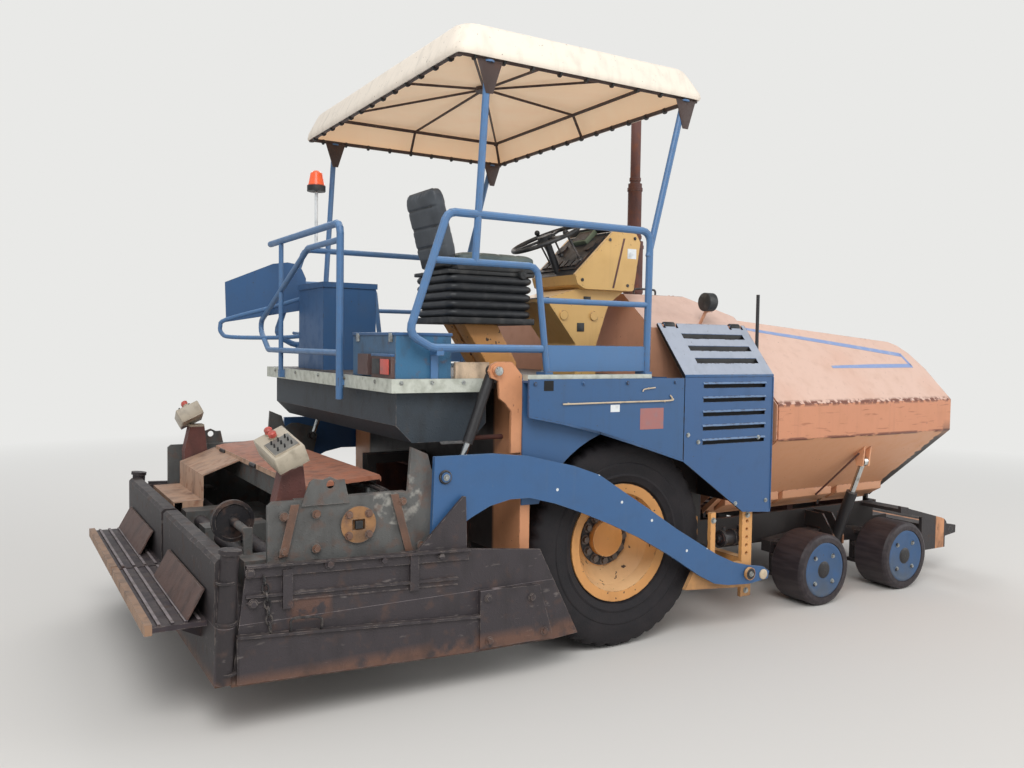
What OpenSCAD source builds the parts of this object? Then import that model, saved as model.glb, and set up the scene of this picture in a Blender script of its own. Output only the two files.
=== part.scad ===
// Wheeled asphalt paver: +X to the hopper, -X to the screed, +Y to the left, ground at z = 0.
// Millimetres. The origin is on the ground under the middle of the machine.

/* [Drive wheels] */
// Drive axle behind the middle of the machine
drive_x = -470; // [-490:5:-450]
// Outer diameter of a drive tyre
drive_d = 1220; // [1200:5:1230]
// Width of a drive tyre
drive_w = 395; // [370:5:410]
// Centre line of the machine to the middle of a drive tyre
drive_y = 968; // [955:1:972]
// Diameter over a rim flange
rim_d = 690; // [660:5:700]
// Depth of the rim's dish from its outer flange
rim_dish = 165; // [140:5:175]
// Number of wheel nuts on a drive hub
hub_nuts = 12; // [8:2:12]

/* [Front wheels] */
// Rear one of the two steered axles, from the middle of the machine
front_x = 1272; // [1265:1:1285]
// Distance between the two steered axles
front_pitch = 874; // [865:1:880]
// Outer diameter of a solid front wheel
front_d = 490; // [470:5:500]
// Width of a front wheel
front_w = 270; // [250:5:280]
// Centre line of the machine to the middle of a front wheel
front_y = 1025; // [1020:1:1030]
// Diameter of the disc in a front wheel
disc_d = 380; // [360:5:390]
// Centre line of the machine to a steering pin
kingpin_y = 812; // [806:1:816]

/* [Frame] */
// Centre line to the outer face of a long frame plate
frame_y = 650; // [630:5:655]
// Thickness of the frame plates
frame_t = 25; // [20:1:30]
// Underside of the frame
frame_z = 345; // [335:5:355]
// Centre line to the outer face of the doors and fender panels
side_y = 1270; // [1260:1:1275]
// Thickness of a door or panel with its folded edge
panel_t = 14; // [10:1:16]
// Top of the doors and fender panels
side_top = 1570; // [1560:1:1580]

/* [Hopper] */
// Length of a hopper wing
wing_l = 1800; // [1780:5:1805]
// Rear edge of a wing from the middle of the machine
wing_x = 683; // [683:1:690]
// Centre line to the outer face of a raised wing
wing_y = 1250; // [1245:1:1255]
// Height of the upper fold of a wing
fold_high = 1393; // [1380:1:1400]
// Height of the lower fold of a wing
fold_low = 1168; // [1160:1:1175]
// Plate thickness of a wing with its ribs
wing_t = 16; // [12:1:18]
// Centre line to a wing hinge
hinge_y = 560; // [555:1:565]
// Height of a wing hinge
hinge_z = 600; // [595:1:605]
// Conveyor slats along the hopper and tunnel
slats = 24; // [20:1:26]

/* [Platform] */
// Top of the operator's platform
deck_z = 1500; // [1490:1:1505]
// Rear edge of the platform
deck_rear = -1890; // [-1895:5:-1880]
// Tube diameter of the handrails
rail_d = 42; // [36:1:46]
// Height of the top rail
rail_z = 2415; // [2400:5:2430]
// Height of the canopy's hem
canopy_z = 3215; // [3200:5:3230]
// Rise of the canopy above its hem
canopy_rise = 235; // [220:5:240]
// Length of the canopy
canopy_l = 1640; // [1620:10:1660]
// Width of the canopy
canopy_w = 2400; // [2360:10:2420]

/* [Screed] */
// Tow pin from the middle of the machine
tow_x = 426; // [420:1:430]
// Height of the tow pin
tow_z = 354; // [350:1:358]
// Thickness of a tow arm
arm_t = 26; // [22:1:28]
// Outer face of an end gate from the centre line
gate_y = 1300; // [1298:1:1302]
// Underside of the parked screed
screed_z = 232; // [228:1:236]
// Diameter of a guide rod of the screed extensions
guide_d = 70; // [60:1:76]
// Diameter of an auger
auger_d = 320; // [300:5:330]
// Turns of one auger's flight
auger_turns = 4; // [3:1:4]

/* [Hidden] */
$fn = 48;
fit = 0.3;            // running clearance of pins and shafts
overlap = 1;          // how far one solid of a node reaches into the next

BLUE = "#3f6ea8";
ORANGE = "#e09a62";
YELLOW = "#e8a94e";
DARK = "#4a4542";
BLACK = "#2c2a2c";
RUST = "#6e4038";
ALLOY = "#c9cfc2";

drive_z = drive_d / 2;
drive_r = drive_d / 2;
front_z = front_d / 2;
front_axles = [front_x, front_x + front_pitch];

// Right-hand shapes are drawn at negative y, and side = 1 mirrors them to the left
module on_side(side) {
  if (side < 0) children();
  else mirror([0, 1, 0]) children();
}

module both_sides() {
  for (side = [-1, 1]) on_side(side) children();
}

// Outline in X and Z, standing from y0 to y1
module side_plate(points, y0, y1) {
  translate([0, y1, 0]) rotate([90, 0, 0]) linear_extrude(y1 - y0) polygon(points);
}

// Outline in Y and Z, running from x0 to x1
module cross_section(points, x0, x1) {
  translate([x0, 0, 0]) rotate([90, 0, 90]) linear_extrude(x1 - x0) polygon(points);
}

// Box between two corners
module block(low, high) {
  translate(low) cube(high - low);
}

// Round bar between two points
module bar(from, to, d) {
  along = to - from;
  reach = norm(along);
  translate(from) rotate([0, acos(along.z / reach), atan2(along.y, along.x)])
    cylinder(h = reach, d = d);
}

function unit(v) = v / norm(v);

// Points of the arc of radius r that rounds off corner i of a path
function corner(p, i, r) =
  let (u = unit(p[i] - p[i - 1]), v = unit(p[i + 1] - p[i]), a = acos(u * v), n = ceil(a / 30),
       inward = unit(v - u), along = unit(u + v), centre = p[i] + inward * r / cos(a / 2))
  [for (k = [0 : n]) centre - inward * r * cos(a * (k / n - 0.5)) + along * r * sin(a * (k / n - 0.5))];

function rounded(p, r) =
  [p[0], for (i = [1 : len(p) - 2]) each corner(p, i, r), p[len(p) - 1]];

// Tube bent through a list of points with a bend radius r, its pieces overlapping at each bend
module tube_path(points, d, r = 60) {
  p = rounded(points, r);
  last = len(p) - 1;
  for (i = [0 : last - 1]) {
    reach = unit(p[i + 1] - p[i]) * 0.14 * d;
    bar(p[i] - (i > 0 ? 1 : 0) * reach, p[i + 1] + (i < last - 1 ? 1 : 0) * reach, d);
  }
}

// Disc with its axis along Y, from y0 to y1
module y_disc(x, z, d, y0, y1) {
  translate([x, y1, z]) rotate([90, 0, 0]) cylinder(h = y1 - y0, d = d);
}

// Disc with its axis along X, from x0 to x1
module x_disc(y, z, d, x0, x1) {
  translate([x0, y, z]) rotate([0, 90, 0]) cylinder(h = x1 - x0, d = d);
}

// Round things set in a ring about an axis along Y
module y_ring(x, z, radius, count, d, y0, y1) {
  for (i = [0 : count - 1])
    y_disc(x + radius * cos(i * 360 / count), z + radius * sin(i * 360 / count), d, y0, y1);
}

// A turned shape set on a wheel's axle, its local +Z pointing away from the machine
module on_axle(x, y, z) {
  translate([x, -y, z]) rotate([90, 0, 0]) children();
}

// Drive wheels
seat_r = rim_d / 2 - 38;       // where the tyre's bead sits on the rim
bead_w = drive_w / 2 - 45;     // from the middle of the tyre to the rim flange
groove_d = 14;                 // depth and width of the worn tread grooves
rim_t = 14;
dish_floor = bead_w + 12 - rim_dish;
hub_r = 165;
stub_d = 140;
hub_t = 26;

module drive_tyre() {
  shoulder = drive_w / 2;
  tread = [for (g = [-70, 0, 70], p = [
      [drive_r, g - groove_d / 2], [drive_r - groove_d, g - groove_d / 2 + 2],
      [drive_r - groove_d, g + groove_d / 2 - 2], [drive_r, g + groove_d / 2]]) p];
  color(BLACK) on_axle(drive_x, drive_y, drive_z) rotate_extrude($fn = 72)
    polygon(concat(
      [[seat_r + fit, fit - bead_w], [seat_r + 40, fit - bead_w], [seat_r + 50, -bead_w - 16],
       [seat_r + 110, 4 - shoulder],
       [drive_r - 110, -shoulder], [drive_r - 42, 10 - shoulder], [drive_r - 12, 34 - shoulder],
       [drive_r, 62 - shoulder]],
      tread,
      [[drive_r, shoulder - 62], [drive_r - 12, shoulder - 34], [drive_r - 42, shoulder - 10],
       [drive_r - 110, shoulder], [seat_r + 110, shoulder - 4], [seat_r + 50, bead_w + 16],
       [seat_r + 40, bead_w - fit], [seat_r + fit, bead_w - fit]]));
}

module drive_rim() {
  inner = seat_r - rim_t;
  color(YELLOW) on_axle(drive_x, drive_y, drive_z) difference() {
    union() {
      rotate_extrude($fn = 72) polygon([
        [inner, -bead_w - 4], [seat_r + 36, -bead_w - 12], [seat_r + 36, -bead_w],
        [seat_r, -bead_w], [seat_r, bead_w], [seat_r + 36, bead_w], [seat_r + 36, bead_w + 12],
        [inner - 6, bead_w + 4], [inner - 34, bead_w - 60], [hub_r + 8, dish_floor - 1],
        [hub_r - 20, dish_floor - 1], [hub_r - 20, dish_floor - 18], [hub_r + 16, dish_floor - 18],
        [inner - 20, bead_w - 68], [inner, bead_w - 30]]);
      translate([0, 0, dish_floor - hub_t]) cylinder(h = hub_t, r = hub_r);
      translate([0, 0, dish_floor - overlap]) cylinder(h = 46, r = 108);
      for (i = [0 : hub_nuts - 1]) rotate(i * 360 / hub_nuts)
        translate([137, 0, dish_floor - overlap]) cylinder(h = 24, d = 30, $fn = 6);
    }
    translate([0, 0, dish_floor - hub_t - 1]) cylinder(h = hub_t + 22, d = stub_d + 2 * fit);
  }
}

module final_drives() {
  hub_face = drive_y + dish_floor - hub_t;     // inboard face of the rim's hub
  color(DARK) both_sides() {
    y_disc(drive_x, drive_z, 300, -hub_face + 6, -frame_y - 39);
    y_disc(drive_x, drive_z, 380, -frame_y - 40, -frame_y);
    y_disc(drive_x, drive_z, stub_d, -hub_face - 38, -hub_face + 8);
    y_ring(drive_x, drive_z, 168, 10, 26, -frame_y - 55, -frame_y - 38);
  }
}

// Front wheels
band_r = front_d / 2 - 58;      // bore of the steel band under the solid tyre
front_stub_d = 60;

module front_wheel(x) {
  half = front_w / 2;
  r = front_d / 2;
  color(BLACK) on_axle(x, front_y, front_z) difference() {
    union() {
      rotate_extrude($fn = 64) polygon([
        [band_r, -half], [r - 26, -half], [r - 8, 8 - half], [r, 22 - half],
        [r, half - 22], [r - 8, half - 8], [r - 26, half], [disc_d / 2, half], [band_r, half - 8]]);
      translate([0, 0, half - 36]) cylinder(h = 20, r = band_r + 2);
      translate([0, 0, half - 110]) cylinder(h = 96, d = 110);
      translate([0, 0, half - 17]) cylinder(h = 14, d = 84);
      for (i = [0 : 3]) rotate(45 + i * 90) translate([128, 0, half - 17]) cylinder(h = 10, d = 24);
    }
    translate([0, 0, half - 111]) cylinder(h = 90, d = front_stub_d + 2 * fit);
  }
}

fork_low = 120;
fork_high = 345;
fork_t = 25;

module knuckle(x) {
  color(DARK) {
    translate([x, -kingpin_y, fork_low + fork_t + fit]) cylinder(h = fork_high - fork_low - fork_t - 2 * fit, d = 86);
    translate([x, -kingpin_y, fork_low]) cylinder(h = fork_high + fork_t - fork_low, d = 40 - 2 * fit);
    y_disc(x, front_z, 84, -front_y - front_w / 2 + 111 + 4, -kingpin_y);
    y_disc(x, front_z, front_stub_d, -front_y - front_w / 2 + 30, -kingpin_y);
    y_disc(x - 95, front_z + 30, 30, -kingpin_y + 10, -kingpin_y + 40);
    block([x - 110, -kingpin_y + 6, front_z + 15], [x, -kingpin_y + 30, front_z + 45]);
  }
}

beam_in = frame_y + 15;
beam_out = kingpin_y - 62;

module bogie_beams() {
  first = front_axles[0];
  last = front_axles[1];
  middle = (first + last) / 2;
  color(DARK) both_sides() {
    side_plate([[first - 90, 290], [middle - 120, 300], [middle + 120, 300], [last + 90, 290],
      [last + 90, 372], [middle + 110, 415], [middle - 110, 415], [first - 90, 372]],
      -beam_out, -beam_in);
    y_disc(middle, 372, 110, -beam_out - 12, -frame_y);
    for (x = front_axles) {
      difference() {
        union() {
          block([x - 60, -kingpin_y - 52, fork_high], [x + 60, -beam_in, fork_high + fork_t]);
          block([x - 60, -kingpin_y - 52, fork_low], [x + 60, -beam_in - 20, fork_low + fork_t]);
          block([x - 50, -beam_out, fork_low + 1], [x + 50, -beam_out + 45, fork_high + 5]);
        }
        translate([x, -kingpin_y, fork_low - 1]) cylinder(h = fork_high, d = 40);
        translate([x, -kingpin_y, fork_high - 1]) cylinder(h = 60, d = 40);
      }
    }
  }
}

// Frame
frame_in = frame_y - frame_t;
front_end = 2860;
bulkhead_x = -1200;
bulkhead_out = 1200;
plate_t = 18;                   // plate behind each fender that carries a lift cylinder
hinge_d = 32;
hinge_barrel_d = 56;
lug_pitch = (wing_l - 45) / 3;
deck_t = 25;
deck_under = deck_z + 45;       // the deck plate lies on its frame above the step's lower edge

module frame() {
  color(ORANGE) {
    both_sides() {
      side_plate([[bulkhead_x, frame_z + 60], [bulkhead_x + 200, frame_z], [side_end, frame_z], [side_end, 430],
        [2440, 430], [2440, 555], [600, 555], [600, 1040], [420, hood_low], [-160, hood_low],
        [-160, deck_under], [bulkhead_x, deck_under]], -frame_y, -frame_in);
      block([-120, -frame_y - 310, 1180], [-60, -frame_in - overlap, 1500]);
      block([560, -side_y + 22, 745], [604, -frame_in - overlap, 1040]);
      wing_lugs();
      for (x = [cylinder_x - 56, cylinder_x + 42]) cylinder_bracket(x);
      x_disc(cylinder_low.x, cylinder_low.y, pin_d, cylinder_x - 56, cylinder_x + 56);
    }
    for (x = cross_x)
      block([x, -frame_in - overlap, frame_z + 20], [x + 90, frame_in + overlap, frame_z + 120]);
    block([bulkhead_x, -frame_in - overlap, 980], [bulkhead_x + 30, frame_in + overlap, deck_under]);
    for (x = [-60, 480]) block([x, -frame_in - overlap, 950], [x + 60, frame_in + overlap, engine_z]);
    auger_hanger();
  }
}

// Upright plate behind each drive wheel, with the plate that carries a lift cylinder
module bulkhead() {
  color(ORANGE) both_sides() {
    block([bulkhead_x, -bulkhead_out, 600], [bulkhead_x + 60, -frame_y, deck_under]);
    side_plate([[-1399, 1612], [-1385, 1578], [-1340, 1560], [-1334, 1470], [-1300, 1445],
      [-1262, 1400], [-1262, 1180], [bulkhead_x + 2, 1180], [bulkhead_x + 2, 1590],
      [-1260, 1660], [-1351, 1660], [-1385, 1646]], -bulkhead_out, -bulkhead_out + plate_t);
    y_disc(lift_top.x, lift_top.y, 56, -bulkhead_out - 22, -bulkhead_out + overlap);
    y_disc(lift_top.x, lift_top.y, lift_pin_d, -bulkhead_out + plate_t - overlap, -lift_y + 26);
  }
}

beam_half = 1000;               // centre line to the end of the front beam
side_end = 2610;                // where the long frame plates end

module front_beam() {
  color(ORANGE) {
    both_sides() front_plate();
    block([side_end, -beam_half, 250], [2780, beam_half, 400]);
  }
}

cross_x = [bulkhead_x + 60, 250, 1640, 2330];
cross_top = frame_z + 120;
engine_z = 990;

// Plate that carries the lower pin of a wing cylinder over the bogie beam
module cylinder_bracket(x) {
  cross_section([[-frame_y + overlap, 430], [-frame_y + overlap, 540], [-810, 540], [-915, 390], [-915, 330],
    [-890, 318], [-850, 324], [-790, 432]], x, x + 14);
}

// Gearbox that carries the inner ends of both augers
module auger_hanger() {
  difference() {
    block([auger_x - 60, -45, auger_z - 60], [auger_x + 60, 45, auger_z + 240]);
    both_sides() y_disc(auger_x, auger_z, auger_stub_d + 2 * fit, -46, -12);
  }
  block([auger_x - 40, -40, auger_z + 230], [auger_x + 20, 40, 1060]);
  block([auger_x - 40, -40, 1000], [bulkhead_x + overlap, 40, 1060]);
}

// Front side plate that carries the push rollers, cut clear of the steered wheel
module front_plate() {
  side_plate([[2300, 520], [2560, 465], [2560, 205], [front_end, 205], [front_end, 405],
    [2845, 428], [2815, 440], [2300, 570]], -beam_half, -beam_half + frame_t);
  block([2830, -beam_half, 205], [front_end, -945, 405]);
  block([2300, -980, 522], [2420, -frame_y, 548]);
  difference() {
    side_plate([[2780, 270], [3030, 300], [3030, 360], [2780, 400]], -978, -940);
    y_disc(roller_x, roller_z, roller_pin_d + 2 * fit, -990, -900);
  }
}

// Wing hinge lugs stand on the frame's top edge and hold the hinge rod
module wing_lugs() {
  for (i = [0 : 3]) {
    x = wing_x + 12 + i * lug_pitch;
    block([x, -hinge_y - 16, 552], [x + 24, -hinge_y + 16, hinge_z + 4]);
    block([x, -frame_y, 530], [x + 24, -hinge_y + 16, 556]);
  }
  x_disc(-hinge_y, hinge_z, hinge_d, wing_x, wing_x + wing_l);
}

post_w = 85;
post_out = side_y - arm_t - 12;

module tow_posts() {
  color(ORANGE) both_sides() {
    difference() {
      block([tow_x - 22, -post_out, 198], [tow_x + post_w - 22, -post_out + 26, 746]);
      for (z = [470 : 50 : 720]) y_disc(tow_x + 20, z, 22, -post_out - 1, -post_out + 40);
    }
    side_plate([[tow_x - 480, 300], [tow_x - 60, 262], [tow_x - 10, 262], [tow_x - 10, 420],
      [tow_x - 60, 420], [tow_x - 420, 400]], -post_out, -post_out + 26);
    block([tow_x - 10, -post_out + 20, 380], [tow_x + 50, -frame_y, 440]);
    block([tow_x - 296, -post_out + 20, 310], [tow_x - 220, -frame_y, 390]);
    block([tow_x - 286, -post_out, 395], [tow_x - 246, -post_out + 26, 747]);
    x_disc(-post_out + 82, 560, 90, tow_x - 134, tow_x + 95);
    x_disc(-post_out + 82, 560, 50, tow_x - 160, tow_x + 120);
    block([tow_x + 4, -post_out + 20, 545], [tow_x + 34, -post_out + 82, 575]);
    y_disc(tow_x, tow_z, 60 - 2 * fit, -side_y - 10, -post_out + overlap);
    y_disc(tow_x, tow_z, 78, -side_y - 24, -side_y - 6);
    block([200, -1010, 500], [240, -980, 680]);
    block([200, -1010, 500], [240, -frame_y, 530]);
  }
}

module engine_block() {
  color(DARK) block([-120, -330, engine_z], [560, 330, 1700]);
}

// Panels
panel_rear = -1197;
door_rear = -124;
door_front = 604;
seam = 6;

module fenders() {
  inner_out = side_y - 60;
  color(BLUE) both_sides() {
    side_plate([[panel_rear, 1369], [-980, 1326], [-734, 1267], [-420, 1172],
      [door_rear - seam, 1080], [door_rear - seam, side_top], [panel_rear, side_top]],
      -side_y, -side_y + panel_t);
    difference() {
      side_plate([[panel_rear, 900], [-700, 900], [-560, side_top - 20], [panel_rear, side_top - 20]],
        -inner_out, -inner_out + 10);
      y_disc(drive_x, drive_z, 2 * (drive_r + 72), -inner_out - 10, -inner_out + 30);
    }
    block([panel_rear, -side_y + 2, side_top - 20], [door_rear - seam, -deck_half - 2, side_top - 8]);
    block([panel_rear, -deck_half - 14, side_top - 20], [door_rear - seam, -deck_half - 2, side_top]);
  }
}

door_hinge_y = 1004;
door_hinge_z = 1880;
slot_h = 26;

module door() {
  ox = side_y;
  color(BLUE) difference() {
    union() {
      side_plate([[door_rear, 1078], [door_rear + 490, 742], [door_front, 722],
        [door_front, side_top + 8], [door_rear, side_top + 8]], -ox, -ox + panel_t);
      cross_section([[-ox, side_top - 6], [-ox, side_top + 14], [-door_hinge_y - 4, door_hinge_z + 14],
        [-door_hinge_y + 4, door_hinge_z], [-ox + panel_t, side_top - 6]], door_rear, door_front);
      for (x = [door_rear + 50, door_front - 130])
        x_disc(-door_hinge_y, door_hinge_z, 34, x, x + 80);
    }
    for (i = [0 : 4])
      block([door_rear + 146, -ox - 1, 1508 - i * 84], [door_front - 70, -ox + panel_t + 1, 1508 + slot_h - i * 84]);
    for (i = [0 : 2]) {
      y = -1060 - i * 62;
      block([door_rear + 146, y - 26, side_top], [door_front - 70, y, 1900]);
    }
    for (x = [door_rear + 50, door_front - 130]) {
      x_disc(-door_hinge_y, door_hinge_z, 16 + 2 * fit, x - 1, x + 81);
      for (n = [x - 20, x + 80]) x_disc(-door_hinge_y, door_hinge_z, 64, n, n + 20);
    }
  }
}

hood_rear = -150;
hood_front = 650;
hood_z = 2082;
hood_half = 700;
hood_t = 8;
hood_low = 1290;

module hood_form(inset) {
  intersection() {
    cross_section([[-door_hinge_y + 24 + inset, hood_low - 1], [-door_hinge_y + 24 + inset, 1866 - inset / 2],
      [-hood_half + inset / 2, hood_z - inset], [hood_half - inset / 2, hood_z - inset],
      [door_hinge_y - 24 - inset, 1866 - inset / 2], [door_hinge_y - 24 - inset, hood_low - 1]],
      hood_rear + inset, hood_front + 20);
    side_plate([[hood_rear + inset, hood_low - 1 - inset], [hood_rear + inset, hood_z - inset],
      [352 - inset / 2, hood_z - inset], [hood_front - inset, 1955 - inset], [hood_front - inset, hood_low - 1 - inset]],
      -1100, 1100);
  }
}

module engine_hood() {
  color(ORANGE) {
    difference() {
      union() {
        hood_form(0);
        block([hood_front - 22, -hinge_y + 10, 950], [hood_front, hinge_y - 10, 1310]);
        both_sides() lamp();
      }
      difference() {
        hood_form(hood_t);
        block([hood_front - 22, -620, 1250], [hood_front + 20, 620, 1312]);
      }
      block([hood_rear - 10, -1100, hood_low - 20], [hood_front - 22, 1100, hood_low]);
      block([hood_front - 30, -1100, hood_low - 20], [hood_front + 10, -hinge_y + 10, hood_low]);
      block([hood_front - 30, hinge_y - 10, hood_low - 20], [hood_front + 10, 1100, hood_low]);
    }
    both_sides() for (x = [door_rear + 34, door_rear + 134, door_front - 146, door_front - 46]) {
      block([x, -door_hinge_y - 8, door_hinge_z - 20], [x + 12, -door_hinge_y + 50, door_hinge_z + 4]);
    }
    both_sides() for (x = [door_rear + 34, door_front - 146])
      x_disc(-door_hinge_y, door_hinge_z, 16, x, x + 112);
  }
}

lamp_x = 290;

// Round work lamp on a bent stalk
module lamp() {
  bar([lamp_x, -930, 1890], [lamp_x, -1000, 2000], 20);
  bar([lamp_x - 32, -1004, 2034], [lamp_x + 32, -1004, 2034], 110);
  block([lamp_x - 10, -1014, 1970], [lamp_x + 10, -994, 2030]);
}

// Hopper and conveyor
floor_half = 520;
floor_z = 560;
floor_rear = -1330;
floor_front = 2430;

module tunnel() {
  color(RUST) {
    block([floor_rear, -floor_half, floor_z], [floor_front, floor_half, floor_z + 14]);
    both_sides() {
      block([floor_rear, -floor_half, floor_z], [hood_front - 32, -floor_half + 12, 942]);
      block([hood_front - 34, -floor_half, floor_z], [floor_front, -floor_half + 12, floor_z + 75]);
      for (x = [floor_rear + 200, 400])
        block([x, -frame_in, floor_z + 40], [x + 60, -floor_half + overlap, floor_z + 120]);
    }
    block([floor_rear + 140, -floor_half, 930], [hood_front - 32, floor_half, 942]);
    block([floor_rear, -12, floor_z], [floor_front, 12, floor_z + 60]);
    for (x = cross_x) block([x + 10, -floor_half + 40, cross_top], [x + 70, floor_half - 40, floor_z + overlap]);
  }
}

chain_h = 20;
chain_in = 44;
chain_out = 452;

module conveyor() {
  pitch = (floor_front - floor_rear - 160) / (slats - 1);
  bottom = floor_z + 14;
  color(DARK) both_sides() {
    for (y = [chain_in, chain_out])
      block([floor_rear + 40, -y - 14, bottom], [floor_front - 40, -y + 14, bottom + chain_h]);
    for (i = [0 : slats - 1]) {
      x = floor_rear + 60 + i * pitch;
      block([x, -chain_out - 24, bottom + chain_h - overlap], [x + 42, -chain_in + 20, bottom + chain_h + 20]);
    }
  }
}

fold_y = wing_y;
lean = 1;                       // the upper panel leans in at 45 degrees
wing_top_rear = 1951;
wing_top_front = 1810;

module wing_section() {
  t = wing_t;
  top = wing_top_rear + 20;
  cross_section([
    [-hinge_y - 20, hinge_z - 16], [-fold_y, fold_low], [-fold_y, fold_high],
    [-fold_y + (top - fold_high) / lean, top], [-fold_y + (top - fold_high) / lean + t * 1.41, top],
    [-fold_y + t, fold_high - t * 0.41], [-fold_y + t, fold_low + t * 0.5],
    [-hinge_y, hinge_z + 12]], wing_x, wing_x + wing_l);
}

module wing() {
  front = wing_x + wing_l;
  color(ORANGE) difference() {
    union() {
      intersection() {
        wing_section();
        side_plate([[wing_x, 500], [front, 500], [front, 1610], [front - 45, 1725],
          [front - 105, 1782], [front - 180, wing_top_front], [wing_x, wing_top_rear]], -1400, 0);
      }
      for (i = [0 : 2])
        x_disc(-hinge_y, hinge_z, hinge_barrel_d, wing_x + 41 + i * lug_pitch, wing_x + 7 + (i + 1) * lug_pitch);
      for (x = [cylinder_x - 40, cylinder_x + 26]) wing_lug(x, cylinder_top);
      x_disc(cylinder_top.x, cylinder_top.y, pin_d, cylinder_x - 40, cylinder_x + 40);
    }
    x_disc(-hinge_y, hinge_z, hinge_d + 2 * fit, wing_x - 1, front + 1);
    for (i = [0 : 3]) x_disc(-hinge_y, hinge_z, 96, wing_x + 7 + i * lug_pitch, wing_x + 41 + i * lug_pitch);
  }
}

// Lug on the lower panel of a wing for its cylinder's pin
module wing_lug(x, pin) {
  cross_section([[pin.x - 26, pin.y - 30], [pin.x + 26, pin.y - 30], [pin.x + 46, pin.y + 62],
    [pin.x - 40, pin.y + 116]], x, x + 14);
}

// Wing cylinders: pins in the (y, z) plane at the parked position
cylinder_x = 1709;
cylinder_low = [-880, 352];
cylinder_top = [-1100, 958];
cylinder_bore_d = 78;
cylinder_rod_d = 40;

module along_cylinder() {
  d = cylinder_top - cylinder_low;
  translate([cylinder_x, cylinder_low.x, cylinder_low.y]) rotate([atan2(-d.x, d.y) , 0, 0]) children();
}

wing_stroke_l = norm(cylinder_top - cylinder_low);
barrel_l = 400;
pin_d = 26;
eye_play = 8;                   // a rod's eye is this much looser on its pin, at the radius

module wing_barrel() {
  color(BLACK) along_cylinder() difference() {
    union() {
      translate([0, 0, 30]) cylinder(h = barrel_l - 30, d = cylinder_bore_d);
      translate([-20, 0, 0]) rotate([0, 90, 0]) cylinder(h = 40, d = 66);
      translate([-20, -22, 0]) cube([40, 44, 40]);
    }
    translate([-30, 0, 0]) rotate([0, 90, 0]) cylinder(h = 60, d = pin_d + 2 * fit);
    translate([0, 0, 60]) cylinder(h = barrel_l, d = cylinder_rod_d + 2 * fit);
  }
}

module wing_rod() {
  color(ALLOY) along_cylinder() difference() {
    union() {
      translate([0, 0, barrel_l - 60]) cylinder(h = wing_stroke_l - barrel_l + 60 - 20, d = cylinder_rod_d);
      translate([-18, 0, wing_stroke_l]) rotate([0, 90, 0]) cylinder(h = 36, d = 64);
    }
    translate([-30, 0, wing_stroke_l]) rotate([0, 90, 0]) cylinder(h = 60, d = pin_d + 2 * eye_play);
  }
}

roller_x = 2965;
roller_z = 330;
roller_d = 150;
roller_pin_d = 50;

module push_rollers() {
  color(DARK) {
    for (s = [-1, 1]) y_disc(roller_x, roller_z, roller_d, min(s * 120, s * 900), max(s * 120, s * 900));
    y_disc(roller_x, roller_z, roller_pin_d, -978, 978);
    y_disc(roller_x, roller_z, 90, -120, 120);
  }
}

// Platform
deck_half = side_y - 170;
deck_top = deck_under + deck_t;
step_front = -1350;

module deck() {
  color(DARK) {
    translate([0, 0, deck_under]) linear_extrude(deck_t)
      polygon([[deck_rear, -deck_half], [hood_rear - 2, -deck_half], [hood_rear - 2, deck_half], [deck_rear, deck_half]]);
    for (y = [-900, -450, 450, 900])
      block([deck_rear + 40, y - 25, deck_under - 40], [bulkhead_x, y + 25, deck_under + overlap]);
  }
}

module platform_skirt() {
  color(DARK) difference() {
    side_plate([[-1850, deck_under - 40], [-1850, 1330], [-1760, 1240], [-1420, 1240], [-1330, 1330],
      [-1330, deck_under - 40]], -1050, 1050);
    side_plate([[-1842, deck_under + 10], [-1842, 1334], [-1756, 1248], [-1424, 1248], [-1338, 1334],
      [-1338, deck_under + 10]], -1042, 1042);
  }
}

module step_edges() {
  color(ALLOY) {
    both_sides() {
      block([deck_rear - 12, -deck_half - 12, deck_z], [step_front, -deck_half, deck_top]);
      block([panel_rear + 4, -side_y + 20, side_top - 8], [-360, -side_y + 70, side_top + 22]);
    }
    block([deck_rear - 12, -deck_half - overlap, deck_z], [deck_rear, deck_half + overlap, deck_top]);
  }
}

rail_y = 1150;
post_d = 38;

mid_d = rail_d - 6;

module handrails() {
  $fn = 12;
  z = rail_z;
  y = -rail_y;
  color(BLUE) {
    both_sides() {
      tube_path([[-1045, y, 1728], [-1700, y, 1728], [-1830, y, 1795], [-1620, y, z], [-310, y, z],
        [-320, y, 1600]], rail_d);
      tube_path([[-1708, y, 2170], [-1080, y, 2170], [-1010, y, 1600]], mid_d);
      bar([-1057, y, 1990], [-316, y, 1990], mid_d - 4);
      block([-1010, y - 6, 1606], [-322, y + 6, 1750]);
      for (x = [-1010, -321]) block([x - 24, y - 24, deck_top], [x + 24, -deck_half + 20, deck_top + 34]);
      block([-1680, y - 16, 1690], [-1640, -deck_half + 14, 1726]);
      block([-1680, -deck_half + 1, deck_top], [-1640, -deck_half + 14, 1700]);
      canopy_posts();
    }
    rear_guard();
  }
}

// Guard across the left part of the platform's rear edge
module rear_guard() {
  x = deck_rear - 34;
  tube_path([[x, -430, 1430], [x, -430, rail_z], [x, rail_y - 200, rail_z]], rail_d);
  tube_path([[x, -426, 2320], [x, 130, 2320], [x, 1254, 1865], [x, 1000, 1690], [x, -426, 1690]], mid_d);
  for (y = [-430, 700]) block([x - 14, y - 18, deck_z + 10], [deck_rear - 12, y + 18, deck_z + 60]);
  bar([x, 700, deck_z + 20], [x, 700, rail_z - 4], mid_d - 4);
}

canopy_x = -785;
ring_in = 75;                   // from the canopy's hem in to the ring of tubes above it
ring_rise = 170;                // and up to it

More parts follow.
